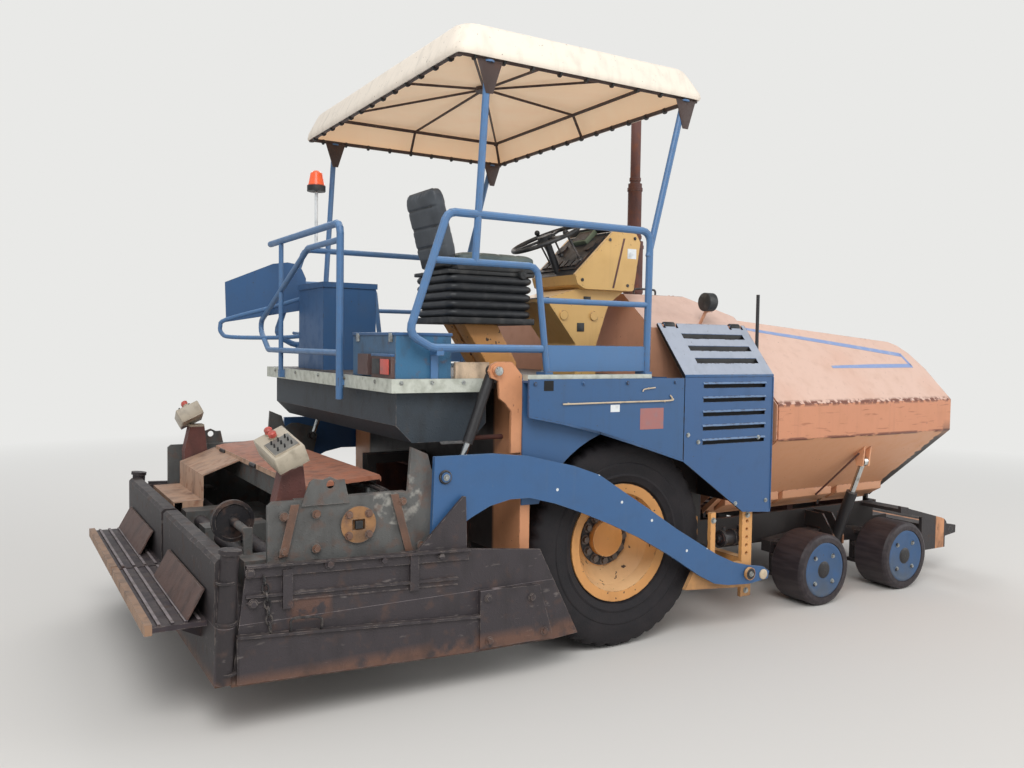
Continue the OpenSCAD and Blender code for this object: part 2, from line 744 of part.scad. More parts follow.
module canopy_form(inset, low) {
  hull() {
    canopy_slab(canopy_l / 2 - inset, canopy_w / 2 - inset, canopy_z + low);
    canopy_slab(canopy_l / 2 - ring_in - inset, canopy_w / 2 - ring_in - inset, canopy_z + ring_rise - inset);
    canopy_slab(hub_half, hub_half, canopy_z + canopy_rise - inset - 1);
  }
}

module canopy_slab(half_x, half_y, z) {
  translate([canopy_x - half_x, -half_y, z]) cube([2 * half_x, 2 * half_y, 1]);
}

module canopy_cover() {
  color("#e9dccb") difference() {
    canopy_form(0, 0);
    canopy_form(canopy_skin, -2);
  }
}

canopy_skin = 14;
rim_half_x = canopy_l / 2 - 34;
rim_half_y = canopy_w / 2 - 46;
rim_z = canopy_z - 4;
rim_d_tube = 24;
ring_z = canopy_z + ring_rise - canopy_skin - rim_d_tube / 2 - 1;
hub_half = 60;

// Posts that stand on the handrails and hold the canopy's rim
module canopy_posts() {
  for (p = [[-1460, 2190, -1400], [-320, 2290, -80]]) {
    top = [p[2], -rim_half_y + 4, rim_z - rim_d_tube / 2 - fit - 10];
    bar([p[0], -rail_y, p[1] - 20], top + [0, 0, 5], post_d);
    translate(top) cylinder(h = 10, d = 70);
  }
}

// Rim under the hem, ring over it, and eight ribs that run up to a hub
module canopy_frame() {
  $fn = 12;
  d = rim_d_tube;
  rx = rim_half_x - ring_in;
  ry = rim_half_y - ring_in;
  hub_z = canopy_z + canopy_rise - canopy_skin - hub_half / 4;
  color(RUST) translate([canopy_x, 0, 0]) {
    for (s = [-1, 1]) {
      bar([6 - rim_half_x, s * rim_half_y, rim_z], [rim_half_x - 6, s * rim_half_y, rim_z], d);
      bar([s * rim_half_x, 14 - rim_half_y, rim_z], [s * rim_half_x, rim_half_y - 14, rim_z], d);
      bar([4 - rx, s * ry, ring_z], [rx - 4, s * ry, ring_z], d);
      bar([s * rx, 8 - ry, ring_z], [s * rx, ry - 8, ring_z], d - 2);
      stub([s * rim_half_x, 0], [s * rx, 0], d - 5);
      stub([0, s * rim_half_y], [0, s * ry], d - 5);
      bar([s * 30, 0, hub_z], [s * rx, 0, ring_z], d - 7);
      bar([0, s * 30, hub_z], [0, s * ry, ring_z], d - 7);
      for (t = [-1, 1]) {
        stub([t * (rim_half_x - 1), s * (rim_half_y - 4)], [t * rx, s * ry], d - 4);
        bar([t * 16, s * 25, hub_z], [t * rx, s * ry, ring_z], d - 8);
        translate([t * rim_half_x, s * rim_half_y, rim_z - 16]) cylinder(h = 24, d = d + 10.6);
        translate([t * rx, s * ry, ring_z - 16]) cylinder(h = 27, d = d + 12);
      }
    }
    translate([0, 0, hub_z - 14]) cylinder(h = 26, d = 2 * hub_half);
  }
}

// Short post from the rim up to the ring
module stub(low, high, d) {
  bar([low.x, low.y, rim_z + 6], [high.x, high.y, ring_z], d);
}

module exhaust() {
  x = 290;
  y = -250;
  color(RUST) {
    translate([x, y, hood_z]) cylinder(h = 400, d = 128);
    translate([x, y, hood_z + 380]) cylinder(h = 420, d = 96);
    translate([x, y, hood_z + 780]) difference() {
      cylinder(h = 520, d = 70);
      translate([0, 0, 60]) cylinder(h = 480, d = 60);
    }
  }
}

seat_y = -600;

module seat() {
  color("#3c4043") {
    hull() {
      translate([-1390, seat_y - 215, 2159 + fit]) cube([560, 430, 50]);
      translate([-1350, seat_y - 190, 2250]) cube([480, 380, 20]);
    }
    hull() {
      translate([-1440, seat_y - 190, 2180]) cube([90, 380, 30]);
      translate([-1560, seat_y - 150, 2600]) cube([110, 300, 30]);
      translate([-1530, seat_y - 210, 2450]) cube([130, 420, 30]);
    }
  }
}

module seat_base() {
  color(BLACK) {
    block([-1450, seat_y - 230, 1862], [-890, seat_y + 230, 1900]);
    for (i = [0 : 3]) {
      block([-1440, seat_y - 220, 1895 + i * 62], [-900, seat_y + 220, 1945 + i * 62]);
      block([-1425, seat_y - 205, 1940 + i * 62], [-915, seat_y + 205, 1962 + i * 62]);
    }
    block([-1450, seat_y - 225, 2136], [-890, seat_y + 225, 2159]);
  }
  color(YELLOW) {
    side_plate([[-1302, 1863], [-1082, 1863], [-950, 1645], [-950, deck_under + deck_t],
      [-1130, deck_under + deck_t], [-1130, 1612]],
      seat_y - 130, seat_y + 130);
  }
}

console_y0 = -860;
console_y1 = -380;
console_body = [[-632, 2170], [-612, 2112], [-554, 2087], [-204, 2087], [-192, 2096], [-146, 2389],
  [-176, 2436], [-240, 2462], [-330, 2456], [-359, 2437]];
panel_slope = [273, 267];       // run and rise of the console's sloping panel

// Set on the console's sloping panel, its local +Z standing out of it
module on_panel(along, y) {
  translate([console_body[0].x, y, console_body[0].y]) rotate([0, -atan2(panel_slope.y, panel_slope.x), 0])
    translate([along, 0, 0]) children();
}

module console() {
  floor = deck_under + deck_t;
  middle = (console_y0 + console_y1) / 2;
  color(YELLOW) {
    side_plate([[-581, floor], [-581, 1761], [-782, 2005], [-776, 2032], [-560, 2092], [-215, 2092],
      [-335, 2009], [-425, 1763], [-425, floor]], console_y0 + 60, console_y1 - 60);
    side_plate(console_body, console_y0, console_y1);
  }
  color(BLACK) {
    on_panel(196, middle) translate([-150, -200, -6]) cube([300, 400, 14]);
    for (y = [-160 : 64 : 160]) on_panel(90, middle + y) translate([-20, -24, 7]) cube([60, 48, 10]);
    for (y = [-150, 150]) on_panel(250, middle + y) translate([0, 0, 7]) cylinder(h = 12, d = 84);
    y_ring(-560, 1930, 110, 2, 56, console_y0 + 50, console_y0 + 62);
    on_column() translate([0, 0, -30]) cylinder(h = column_l + 30, d = 44);
  }
}

column_l = 240;

module on_column() {
  translate([-580, (console_y0 + console_y1) / 2, 2165]) rotate([0, -25, 0]) children();
}

module steering_wheel() {
  color(BLACK) on_column() translate([0, 0, column_l + fit]) {
    translate([0, 0, 12]) rotate_extrude() translate([212, 0]) circle(d = 26);
    cylinder(h = 34, d = 96);
    for (a = [30, 150, 270]) rotate(a) translate([30, -14, 4]) cube([180, 28, 14]);
  }
}

module tank() {
  floor = deck_under + deck_t;
  color(BLUE) block([-1760, 330, floor], [-1400, 830, 2110]);
  color(ALLOY) block([-1768, 322, 2100], [-1392, 838, 2135]);
}

module beacon() {
  color(YELLOW) translate([-1535, rail_y, 0]) {
    translate([0, 0, rail_z + rail_d / 2 + fit]) cylinder(h = 420, d = 22);
    translate([0, 0, 2845]) cylinder(h = 40, d = 130);
    translate([0, 0, 2884]) cylinder(h = 90, d1 = 118, d2 = 84);
    translate([0, 0, 2973]) cylinder(h = 18, d1 = 84, d2 = 40);
  }
}

module rear_boxes() {
  floor = deck_under + deck_t;
  color(RUST) {
    block([-1870, -1085, floor], [-1560, -500, 1800]);
    block([-1890, -1080, floor], [-1868, -820, 1690]);
    block([-1898, -780, 1580], [-1866, -640, 1690]);
  }
  color(RUST) block([-1540, -1098, floor], [-1340, -1076, floor + 85]);
}

module sight_rods() {
  color(DARK) both_sides() {
    bar([628, -1100, 1700], [628, -1100, 2090], 22);
    block([612, -1112, 1690], [644, -door_hinge_y + 24, 1716]);
  }
}

// Screed: one body that hangs from the tow pins
arm_in = side_y - arm_t;
gate_t = 16;
gate_rear = -2724;
gate_front = -883;
main_rear = -2330;
main_front = -1880;
screed_half = 1225;

module tow_arms() {
  color(BLUE) {
    both_sides() difference() {
      side_plate([[-1750, 775], [-1640, 815], [-1520, 880], [-1422, 925], [-1300, 950], [-1182, 948],
        [-1020, 905], [-859, 846], [-640, 755], [-438, 661], [-220, 540], [27, 385], [150, 322], [260, 300],
        [440, 285], [600, 300], [612, 345], [560, 378], [440, 400], [313, 432], [160, 500], [21, 580], [-170, 690],
        [-369, 818], [-560, 935], [-729, 1040], [-900, 1100], [-1186, 1168], [-1400, 1192], [-1736, 1193]],
        -side_y, -arm_in);
      y_disc(tow_x, tow_z, 60, -side_y - 1, -arm_in + 1);
    }
    both_sides() y_disc(-1679, 1090, 50, -side_y - 14, -side_y + overlap);
  }
}

module screed_body() {
  color(DARK) {
    // main box with its heated sole plate
    side_plate([[main_rear, screed_z + 12], [main_front, screed_z + 12], [main_front + 45, screed_z + 70],
      [main_front + 45, 560], [main_front, 600], [main_rear, 600]], -screed_half, screed_half);
    both_sides() {
      screed_end();
      y_disc(lift_low.x, lift_low.y, lift_pin_d, -arm_in + 20, -lift_y + 26);
      side_plate([[main_rear + 60, 560], [main_front - 40, 560], [main_front + 10, 1028], [main_rear - 90, 1028]],
        -arm_in + 20, -arm_in + 60);
      for (p = [[-2480, 960], [-2480, 800], [-2330, 960], [-2330, 800], [-1900, 985], [-1800, 760]])
        y_disc(p.x, p.y, 44, -arm_in - 12, -arm_in + overlap);
      // sleeves for the guide rods
      for (y = [1150, 330]) {
        difference() {
          block([main_rear - 300, -y, guide_z - 60], [main_rear + 40, -y + 150, guide_z + 60]);
          for (q = guides) y_disc(q, guide_z, guide_d + 2 * fit, -y - 1, -y + 151);
        }
        block([main_rear + 2, -y, 590], [main_rear + 60, -y + 150, guide_z + 40]);
      }
    }
    // hand wheel of the height adjustment
    difference() {
      y_disc(-2580, 856, 210, -736, -708);
      y_disc(-2580, 856, 172, -737, -728);
    }
    y_disc(-2580, 856, 40, -1012, -700);
    block([-2600, -1022, 740], [-2560, -1002, 876]);
    // mould board in front of the augers' far side and the frame across the top
    block([main_rear + 60, -screed_half + 10, 900], [main_rear + 140, screed_half - 10, 1000]);
    block([main_front - 60, -screed_half + 10, 590], [main_front, screed_half - 10, 980]);
  }
}

// End plate that joins the arm to the box, with its eared bracket, straps and flange
module screed_end() {
  difference() {
    union() {
      side_plate([[-2551, 748], [-2551, 1010], [-2530, 1028], [-1866, 1029], [-1850, 1244], [-1764, 1206],
        [-1740, 1120], [-1690, 1150], [-1640, 1150], [-1530, 1120], [-1500, 1040], [-1560, 780],
        [-1700, 700], [main_rear + 60, 700], [main_rear + 20, 748]], -arm_in, -arm_in + 24);
      y_disc(-2124, 893, 176, -arm_in - 12, -arm_in + overlap);
      side_plate([[-2400, 1000], [-2361, 1108], [-2340, 1122], [-2296, 1116], [-2262, 1128], [-2226, 1110],
        [-2194, 1111], [-2170, 1000]], -arm_in - 10, -arm_in + overlap);
    }
    block([-2156, -arm_in - 20, 868], [-2092, -arm_in + 12, 918]);
    y_disc(-2262, 1092, 40, -arm_in - 20, -arm_in + 40);
  }
  for (strap = [[-2430, 1012, -2484, 778], [-1944, 1024, -1864, 740]])
    side_plate([[strap[0] - 20, strap[1]], [strap[0] + 20, strap[1]], [strap[2] + 20, strap[3]],
      [strap[2] - 20, strap[3]]], -arm_in - 14, -arm_in + overlap);
}

guide_z = 690;
guides = [main_rear - 90, main_rear - 220];

module screed_covers() {
  color(RUST) {
    side_plate([[-2290, 1012], [-2290, 1040], [-2240, 1050], [-1900, 1076], [-1890, 1064], [-1890, 1040],
      [-1900, 1052], [-2240, 1030], [-2270, 1012]], -960, 960);
    for (y = [-860, 0, 860]) block([-2250, y - 20, 1000], [-2200, y + 20, 1036]);
    side_plate([[-2676, 720], [-2676, 790], [-2510, 790], [-2510, 940], [-2284, 1024], [-2284, 1015],
      [-2502, 934], [-2502, 782], [-2668, 782], [-2668, 720]], 320, 1020);
    for (y = [320, 1010])
      side_plate([[-2624, 750], [-2506, 750], [-2506, 786], [-2624, 786]], y, y + 10);
  }
}

// Lift cylinders stand between the frame and the arms
lift_top = [-1351, 1612];
lift_low = [-1560, 1060];
lift_y = 1148;
lift_pin_d = 30;
lift_play = 5;                  // a rod's eye is this much looser on its pin, at the radius
lift_barrel_l = 400;
lift_bore_d = 56;
lift_rod_d = 34;
lift_l = norm(lift_top - lift_low);
lift_tilt = atan2(lift_top.x - lift_low.x, lift_top.y - lift_low.y);

module along_lift() {
  translate([lift_top.x, -lift_y, lift_top.y]) rotate([0, 180 + lift_tilt, 0]) children();
}

module lift_barrels() {
  color(BLACK) both_sides() along_lift() difference() {
    union() {
      translate([0, 0, 26]) cylinder(h = lift_barrel_l - 26, d = lift_bore_d);
      translate([0, 20, 0]) rotate([90, 0, 0]) cylinder(h = 40, d = 58);
      translate([-18, -18, 0]) cube([36, 36, 40]);
    }
    translate([0, 30, 0]) rotate([90, 0, 0]) cylinder(h = 60, d = lift_pin_d + 2 * fit);
    translate([0, 0, 50]) cylinder(h = lift_barrel_l, d = lift_rod_d + 2 * fit);
  }
}

module lift_rods() {
  color(ALLOY) both_sides() along_lift() difference() {
    union() {
      translate([0, 0, 200]) cylinder(h = lift_l - 200 - 26, d = lift_rod_d);
      translate([0, 18, lift_l]) rotate([90, 0, 0]) cylinder(h = 36, d = 64);
    }
    translate([0, 30, lift_l]) rotate([90, 0, 0]) cylinder(h = 60, d = lift_pin_d + 2 * lift_play);
  }
}

module control_stations() {
  color(RUST) both_sides() {
    side_plate([[-2470, guide_z + 60], [-2360, guide_z + 60], [-2330, 1000], [-2350, 1180], [-2440, 1180],
      [-2480, 1000]], -1120, -1030);
    translate([-2440, -1075, 1240]) rotate([18, -26, 0]) {
      block([-74, -125, -46], [74, 125, 46]);
      block([-62, -110, 40], [62, 20, 56]);
      for (y = [50, 96]) translate([0, y, 40]) cylinder(h = 34, d = 34);
    }
  }
}

// One half of the screed extension: it slides out on two guide rods
module extension(side) {
  guide = side < 0 ? guides[0] : guides[1];
  color(DARK) {
    side_plate([[extension_rear, screed_z + 12], [main_rear - 6, screed_z + 12], [main_rear - 6, 560],
      [-2688, 590], [-2698, 788], [-2716, 806], [-2774, 806], [extension_rear, 790]], -gate_y + gate_t - overlap, -30);
    y_disc(guide, guide_z, guide_d, -gate_y + gate_t - overlap, 900);
    gate();
  }
}

extension_rear = -2790;

module gate() {
  y0 = -gate_y;
  y1 = -gate_y + gate_t;
  face = y0 + overlap;
  side_plate([[gate_rear, screed_z + 8], [-1498, 192], [-1040, 186], [gate_front, 196], [-1134, 679], [-1568, 727],
    [-1577, 990], [-1592, 992], [-1838, 746], [gate_rear + 64, 755]], y0, y1);
  // angle along the top, with a recess under it
  side_plate([[gate_rear + 60, 716], [-1564, 676], [-1564, 730], [gate_rear + 60, 770]], y0 - 12, face);
  side_plate([[gate_rear + 60, 762], [-1564, 722], [-1564, 732], [gate_rear + 60, 772]], y0 - 30, face);
  side_plate([[gate_rear + 60, 626], [-1620, 580], [-1620, 592], [gate_rear + 60, 638]], y0 - 12, face);
  for (x = [-2480, -1862]) side_plate([[x - 22, 560], [x + 22, 560], [x + 22, 735], [x - 22, 735]], y0 - 20, face);
  for (x = [-2650, -2290]) y_disc(x, 740, 40, y0 - 24, face);
  // shoe along the bottom
  side_plate([[gate_rear + 20, 252], [-1503, 204], [-1503, 384], [gate_rear + 20, 466]], y0 - 18, face);
  side_plate([[gate_rear + 20, 456], [-1503, 374], [-1503, 386], [gate_rear + 20, 468]], y0 - 30, face);
  side_plate([[-1503, 215], [-1061, 205], [-1150, 500], [-1503, 512]], y0 - 30, face);
  bar([gate_rear - 34, y0 + 10, 262], [gate_rear - 2, y0 + 10, 832], 80);
  bar([gate_rear - 4, y0 + 10, 826], [gate_rear - 2, y0 + 10, 846], 96);
}

walk_z = 500;

module walkway() {
  color(DARK) {
    block([-3020, -1130, walk_z - 24], [extension_rear, -14, walk_z]);
    for (i = [0 : 3]) block([-2996 + i * 56, -1120, walk_z - overlap], [-2982 + i * 56, -24, walk_z + 9]);
    for (y = [-1000, -300])
      side_plate([[-2960, walk_z - 23], [extension_rear, walk_z - 110], [extension_rear, walk_z - 23]], y - 8, y + 8);
    // board that leans on the extension
    side_plate([[-2878, walk_z + 8], [-2868, walk_z + 8], [extension_rear - 6, 640], [extension_rear - 16, 640]], -1120, -260);
  }
  color("#c49a6c") block([-3052, -1130, walk_z - 34], [-3020 + overlap, -14, walk_z + 16]);
}

// Augers at the mouth of the conveyors
auger_x = -1560;
auger_z = 520;
auger_l = 1010;
auger_stub_d = 60;

module auger() {
  color(DARK) {
    y_disc(auger_x, auger_z, 90, -60 - auger_l, -56);
    y_disc(auger_x, auger_z, auger_stub_d, -58, -14);
    translate([auger_x, -66, auger_z]) rotate([90, 0, 0])
      linear_extrude(auger_l - 10, twist = 360 * auger_turns, slices = 16 * auger_turns, $fn = 4)
        translate([20, -14]) square([auger_d / 2 - 20, 28]);
  }
}

frame();
bulkhead();
front_beam();
tow_posts();
final_drives();
bogie_beams();
engine_block();
fenders();
engine_hood();
conveyor();
tunnel();
deck();
platform_skirt();
step_edges();
handrails();
canopy_frame();
canopy_cover();
exhaust();
seat();
seat_base();
console();
steering_wheel();
tank();
beacon();
rear_boxes();
sight_rods();
on_side(1) door();  // door_left
on_side(-1) door();  // door_right
on_side(1) wing();  // wing_left
on_side(-1) wing();  // wing_right
on_side(1) wing_barrel();  // wing_barrel_left
on_side(-1) wing_barrel();  // wing_barrel_right
on_side(1) wing_rod();  // wing_rod_left
on_side(-1) wing_rod();  // wing_rod_right
push_rollers();
on_side(1) drive_tyre();  // drive_tyre_left
on_side(-1) drive_tyre();  // drive_tyre_right
on_side(1) drive_rim();  // drive_rim_left
on_side(-1) drive_rim();  // drive_rim_right
on_side(1) knuckle(front_axles[0]);  // knuckle_1_left
on_side(-1) knuckle(front_axles[0]);  // knuckle_1_right
on_side(1) knuckle(front_axles[1]);  // knuckle_2_left
on_side(-1) knuckle(front_axles[1]);  // knuckle_2_right
on_side(1) front_wheel(front_axles[0]);  // front_wheel_1_left
on_side(-1) front_wheel(front_axles[0]);  // front_wheel_1_right
on_side(1) front_wheel(front_axles[1]);  // front_wheel_2_left
on_side(-1) front_wheel(front_axles[1]);  // front_wheel_2_right
tow_arms();
screed_body();
screed_covers();
control_stations();
lift_barrels();
lift_rods();
on_side(1) extension(1);  // extension_left
on_side(-1) extension(-1);  // extension_right
on_side(1) walkway();  // walkway_left
on_side(-1) walkway();  // walkway_right
on_side(1) auger();  // auger_left
on_side(-1) auger();  // auger_right
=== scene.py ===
"""Looks of the wheeled asphalt paver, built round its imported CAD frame.

Metres, in the frame of the CAD: +X to the hopper, +Y to the left, ground at z = 0.
Right-hand shapes are drawn at negative y; side 1 mirrors them to the left.
"""

import math

import bmesh
import bpy
from mathutils import Matrix, Vector


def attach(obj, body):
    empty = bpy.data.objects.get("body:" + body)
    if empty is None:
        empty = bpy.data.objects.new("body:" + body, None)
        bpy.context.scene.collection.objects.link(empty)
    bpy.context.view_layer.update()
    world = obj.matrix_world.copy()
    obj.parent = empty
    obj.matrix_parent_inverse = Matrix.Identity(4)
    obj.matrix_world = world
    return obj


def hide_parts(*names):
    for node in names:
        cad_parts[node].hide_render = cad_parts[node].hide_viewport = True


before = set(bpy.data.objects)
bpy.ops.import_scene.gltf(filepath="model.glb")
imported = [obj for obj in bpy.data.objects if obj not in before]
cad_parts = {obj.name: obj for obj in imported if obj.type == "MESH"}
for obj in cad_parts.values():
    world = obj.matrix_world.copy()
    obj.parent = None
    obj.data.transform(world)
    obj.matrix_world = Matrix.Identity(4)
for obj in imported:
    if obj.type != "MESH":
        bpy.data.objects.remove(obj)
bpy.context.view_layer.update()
scene = bpy.context.scene
SIDES = {-1: "right", 1: "left"}
SIDE_Y = 1.27  # outer face of the fenders, doors and tow arms
FACE = -SIDE_Y  # the same on the right, where shapes are drawn

PHOTO_WIDTH = 1024
FOCAL_PIXELS = 885
FILM_WIDTH = 36
CAMERA_AT = (-3.641, -5.1695, 1.752)
YAW, PITCH, ROLL = (math.radians(a) for a in (30.96, 2.575, 0.816))


def set_camera():
    """The photograph's viewpoint: 5.2 m from the centre line, at eye height and nearly level."""
    level = Vector((math.sin(YAW), math.cos(YAW), 0))
    across = Vector((math.cos(YAW), -math.sin(YAW), 0))
    forward = level * math.cos(PITCH) - Vector((0, 0, math.sin(PITCH)))
    crown = Vector((0, 0, math.cos(PITCH))) + level * math.sin(PITCH)
    right = across * math.cos(ROLL) + crown * math.sin(ROLL)
    upright = crown * math.cos(ROLL) - across * math.sin(ROLL)
    camera = bpy.data.objects.new("camera", bpy.data.cameras.new("camera"))
    scene.collection.objects.link(camera)
    placed = Matrix((right, upright, -forward)).transposed().to_4x4()
    placed.translation = CAMERA_AT
    camera.matrix_world = placed
    camera.data.sensor_width = FILM_WIDTH
    camera.data.lens = FILM_WIDTH * FOCAL_PIXELS / PHOTO_WIDTH
    camera.data.clip_end = 200
    scene.camera = camera


set_camera()


# Materials


def rgb(code):
    """An sRGB hex colour as the linear colour that a socket takes."""
    parts = [int(code[i : i + 2], 16) / 255 for i in (1, 3, 5)]
    return (*[c / 12.92 if c <= 0.04045 else ((c + 0.055) / 1.055) ** 2.4 for c in parts], 1)


def add(tree, kind, settings=None, inputs=None):
    """Adds one node with its settings; an input takes a value or the socket that feeds it."""
    node = tree.nodes.new(kind)
    for key, value in (settings or {}).items():
        setattr(node, key, value)
    for key, value in (inputs or {}).items():
        if isinstance(value, bpy.types.NodeSocket):
            tree.links.new(value, node.inputs[key])
        else:
            node.inputs[key].default_value = value
    return node


def patches(tree, at, size, low, high, detail=3.0, stretch=(1, 1, 1), seed=0):
    """Irregular patches about size millimetres across: 0 under low, 1 over high."""
    place = add(tree, "ShaderNodeMapping", None,
                {"Vector": at, "Location": (seed * 7.3, seed * 3.1, seed * 5.7), "Scale": stretch})
    pattern = add(tree, "ShaderNodeTexNoise", None,
                  {"Vector": place.outputs[0], "Scale": 1000 / size, "Detail": detail})
    return add(tree, "ShaderNodeMapRange", None,
               {"Value": pattern.outputs[0], "From Min": low, "From Max": high}).outputs[0]


def facing_up(tree, low, high):
    """1 on faces that look at the sky, where paint bleaches, dust settles and sky light is painted on."""
    normal = add(tree, "ShaderNodeNewGeometry").outputs["Normal"]
    rise = add(tree, "ShaderNodeSeparateXYZ", None, {0: normal}).outputs["Z"]
    return add(tree, "ShaderNodeMapRange", None,
               {"Value": rise, "From Min": low, "From Max": high}).outputs[0]


def along(tree, at, axis, low, high):
    """0 below low and 1 above high along one axis of the machine, in metres."""
    value = add(tree, "ShaderNodeSeparateXYZ", None, {0: at}).outputs[axis]
    return add(tree, "ShaderNodeMapRange", None,
               {"Value": value, "From Min": low, "From Max": high}).outputs[0]


def worn_edges(tree, reach):
    """1 on the edges and folds of a plate, about reach millimetres wide."""
    rounded = add(tree, "ShaderNodeBevel", {"samples": 4}, {"Radius": reach / 1000}).outputs[0]
    normal = add(tree, "ShaderNodeNewGeometry").outputs["Normal"]
    same = add(tree, "ShaderNodeVectorMath", {"operation": "DOT_PRODUCT"}, {0: rounded, 1: normal})
    return add(tree, "ShaderNodeMapRange", None,
               {"Value": same.outputs["Value"], "From Min": 0.995, "From Max": 0.9}).outputs[0]


def part(tree, mask, share):
    """A mask at a share of its strength; the share may be another mask."""
    return add(tree, "ShaderNodeMath", {"operation": "MULTIPLY"}, {0: mask, 1: share}).outputs[0]


def both_sides_at(tree, at):
    """Coordinates with their signs dropped, so that one mask serves the left and the right."""
    return add(tree, "ShaderNodeVectorMath", {"operation": "ABSOLUTE"}, {0: at}).outputs[0]


def near(tree, at, centre, radius):
    """1 within radius metres of a point."""
    away = add(tree, "ShaderNodeVectorMath", {"operation": "DISTANCE"}, {0: at, 1: centre}).outputs["Value"]
    return add(tree, "ShaderNodeMapRange", None,
               {"Value": away, "From Min": radius, "From Max": radius * 0.96}).outputs[0]


def together(tree, first, *others):
    """Where all the masks hold."""
    for other in others:
        first = part(tree, first, other)
    return first


def between(tree, at, axis, low, high, soft):
    """1 between two places along one axis, over soft metres at each end."""
    return together(tree, along(tree, at, axis, low, low + soft), along(tree, at, axis, high, high - soft))


def layered(tree, base, *coats):
    """A colour with coats of (mask, colour) laid over it in turn."""
    for mask, colour in coats:
        base = add(tree, "ShaderNodeMix", {"data_type": "RGBA"}, {0: mask, 6: base, 7: colour}).outputs[2]
    return base


def relief(tree, height, depth, under=None):
    """Surface relief of depth millimetres from a mask, over another relief."""
    inputs = {"Height": height, "Distance": depth / 1000, "Strength": 1.0}
    if under is not None:
        inputs["Normal"] = under
    return add(tree, "ShaderNodeBump", None, inputs).outputs[0]


def finish(name, uniform, make):
    """A material: uniform values sit on the shader's sockets, make(tree, at) gives what varies."""
    material = bpy.data.materials.new(name)
    material.use_nodes = True
    tree = material.node_tree
    shader = tree.nodes["Principled BSDF"]
    at = add(tree, "ShaderNodeTexCoord").outputs["Object"]
    for key, value in uniform.items():
        shader.inputs[key].default_value = value
    for key, value in make(tree, at).items():
        tree.links.new(value, shader.inputs[key])
    return material


def weathered_enamel(name, colour, faded_and_skylit, deep, bare, dirt, extra=None, fade_and_skylight=(0.2, 0.8), grime_top=0.55):
    """Air-dried enamel on steel plate: it chips at its folds and darkens low down; its upward faces are
    paler, partly from bleaching and partly as painted sky light.
    """

    def make(tree, at):
        # Upward faces take the pale colour: partly real bleaching, partly painted sky light.
        bleached_and_skylit = together(tree, facing_up(tree, *fade_and_skylight), patches(tree, at, 500, -0.5, 0.5, 3, seed=2))
        film = patches(tree, at, 90, 0.48, 0.75, 5, seed=4)
        streaks = patches(tree, at, 34, 0.56, 0.76, 3, stretch=(1, 1, 0.07), seed=3)
        edges = together(tree, worn_edges(tree, 7), patches(tree, at, 30, 0.46, 0.6, 5, seed=5))
        chips = patches(tree, at, 16, 0.74, 0.76, 2, seed=6)
        low = together(tree, along(tree, at, "Z", grime_top, grime_top - 0.35),
                       patches(tree, at, 120, 0.3, 0.62, 5, seed=7))
        coats = [(part(tree, patches(tree, at, 800, 0.3, 0.7, 2), 0.35), rgb(deep)),
                 (bleached_and_skylit, rgb(faded_and_skylit)), (part(tree, film, 0.14), rgb(dirt)),
                 (part(tree, streaks, 0.1), rgb(bare)), (low, rgb(dirt))]
        if extra:
            coats += extra(tree, at)
        coats += [(edges, rgb(bare)), (chips, rgb(bare))]
        rough = add(tree, "ShaderNodeMapRange", None,
                    {"Value": film, "To Min": 0.42, "To Max": 0.62}).outputs[0]
        peel = relief(tree, patches(tree, at, 7, 0.3, 0.7, 1), 0.12)
        lost = add(tree, "ShaderNodeMath", {"operation": "MAXIMUM"}, {0: edges, 1: chips}).outputs[0]
        paint = add(tree, "ShaderNodeMath", {"operation": "SUBTRACT"}, {0: 1.0, 1: lost}).outputs[0]
        return {"Base Color": layered(tree, rgb(colour), *coats), "Roughness": rough,
                "Normal": relief(tree, paint, 0.4, peel)}

    return finish(name, {"IOR": 1.5, "Specular IOR Level": 0.45}, make)


def grimy_steel(name, colour, rust, tar, rust_share=0.5, roughness=0.6, metallic=0.0, extra=None):
    """Hot-rolled steel left in the weather, with rust in patches and tar where the mix touches it."""

    def make(tree, at):
        rusty = part(tree, patches(tree, at, 60, rust_share, rust_share + 0.2, 7), 0.75)
        scabs = patches(tree, at, 14, 0.55, 0.68, 3, seed=2)
        tarred = part(tree, patches(tree, at, 90, 0.48, 0.75, 7, stretch=(1, 1, 0.5), seed=3), 0.6)
        dust = together(tree, facing_up(tree, 0.4, 0.9), patches(tree, at, 60, 0.35, 0.7, 4, seed=4))
        worn = together(tree, worn_edges(tree, 5), patches(tree, at, 40, 0.45, 0.6, 3, seed=5))
        rough = add(tree, "ShaderNodeMapRange", None,
                    {"Value": rusty, "To Min": roughness, "To Max": roughness + 0.22}).outputs[0]
        pits = relief(tree, scabs, 0.7, relief(tree, patches(tree, at, 5, 0.3, 0.7, 2), 0.3))
        coats = extra(tree, at) if extra else []
        coats += [(rusty, rgb(rust)), (tarred, rgb(tar)), (part(tree, dust, 0.3), rgb("#7D736A")),
                  (worn, rgb("#81766F"))]
        return {"Base Color": layered(tree, rgb(colour), *coats), "Roughness": rough, "Normal": pits}

    return finish(name, {"Metallic": metallic}, make)


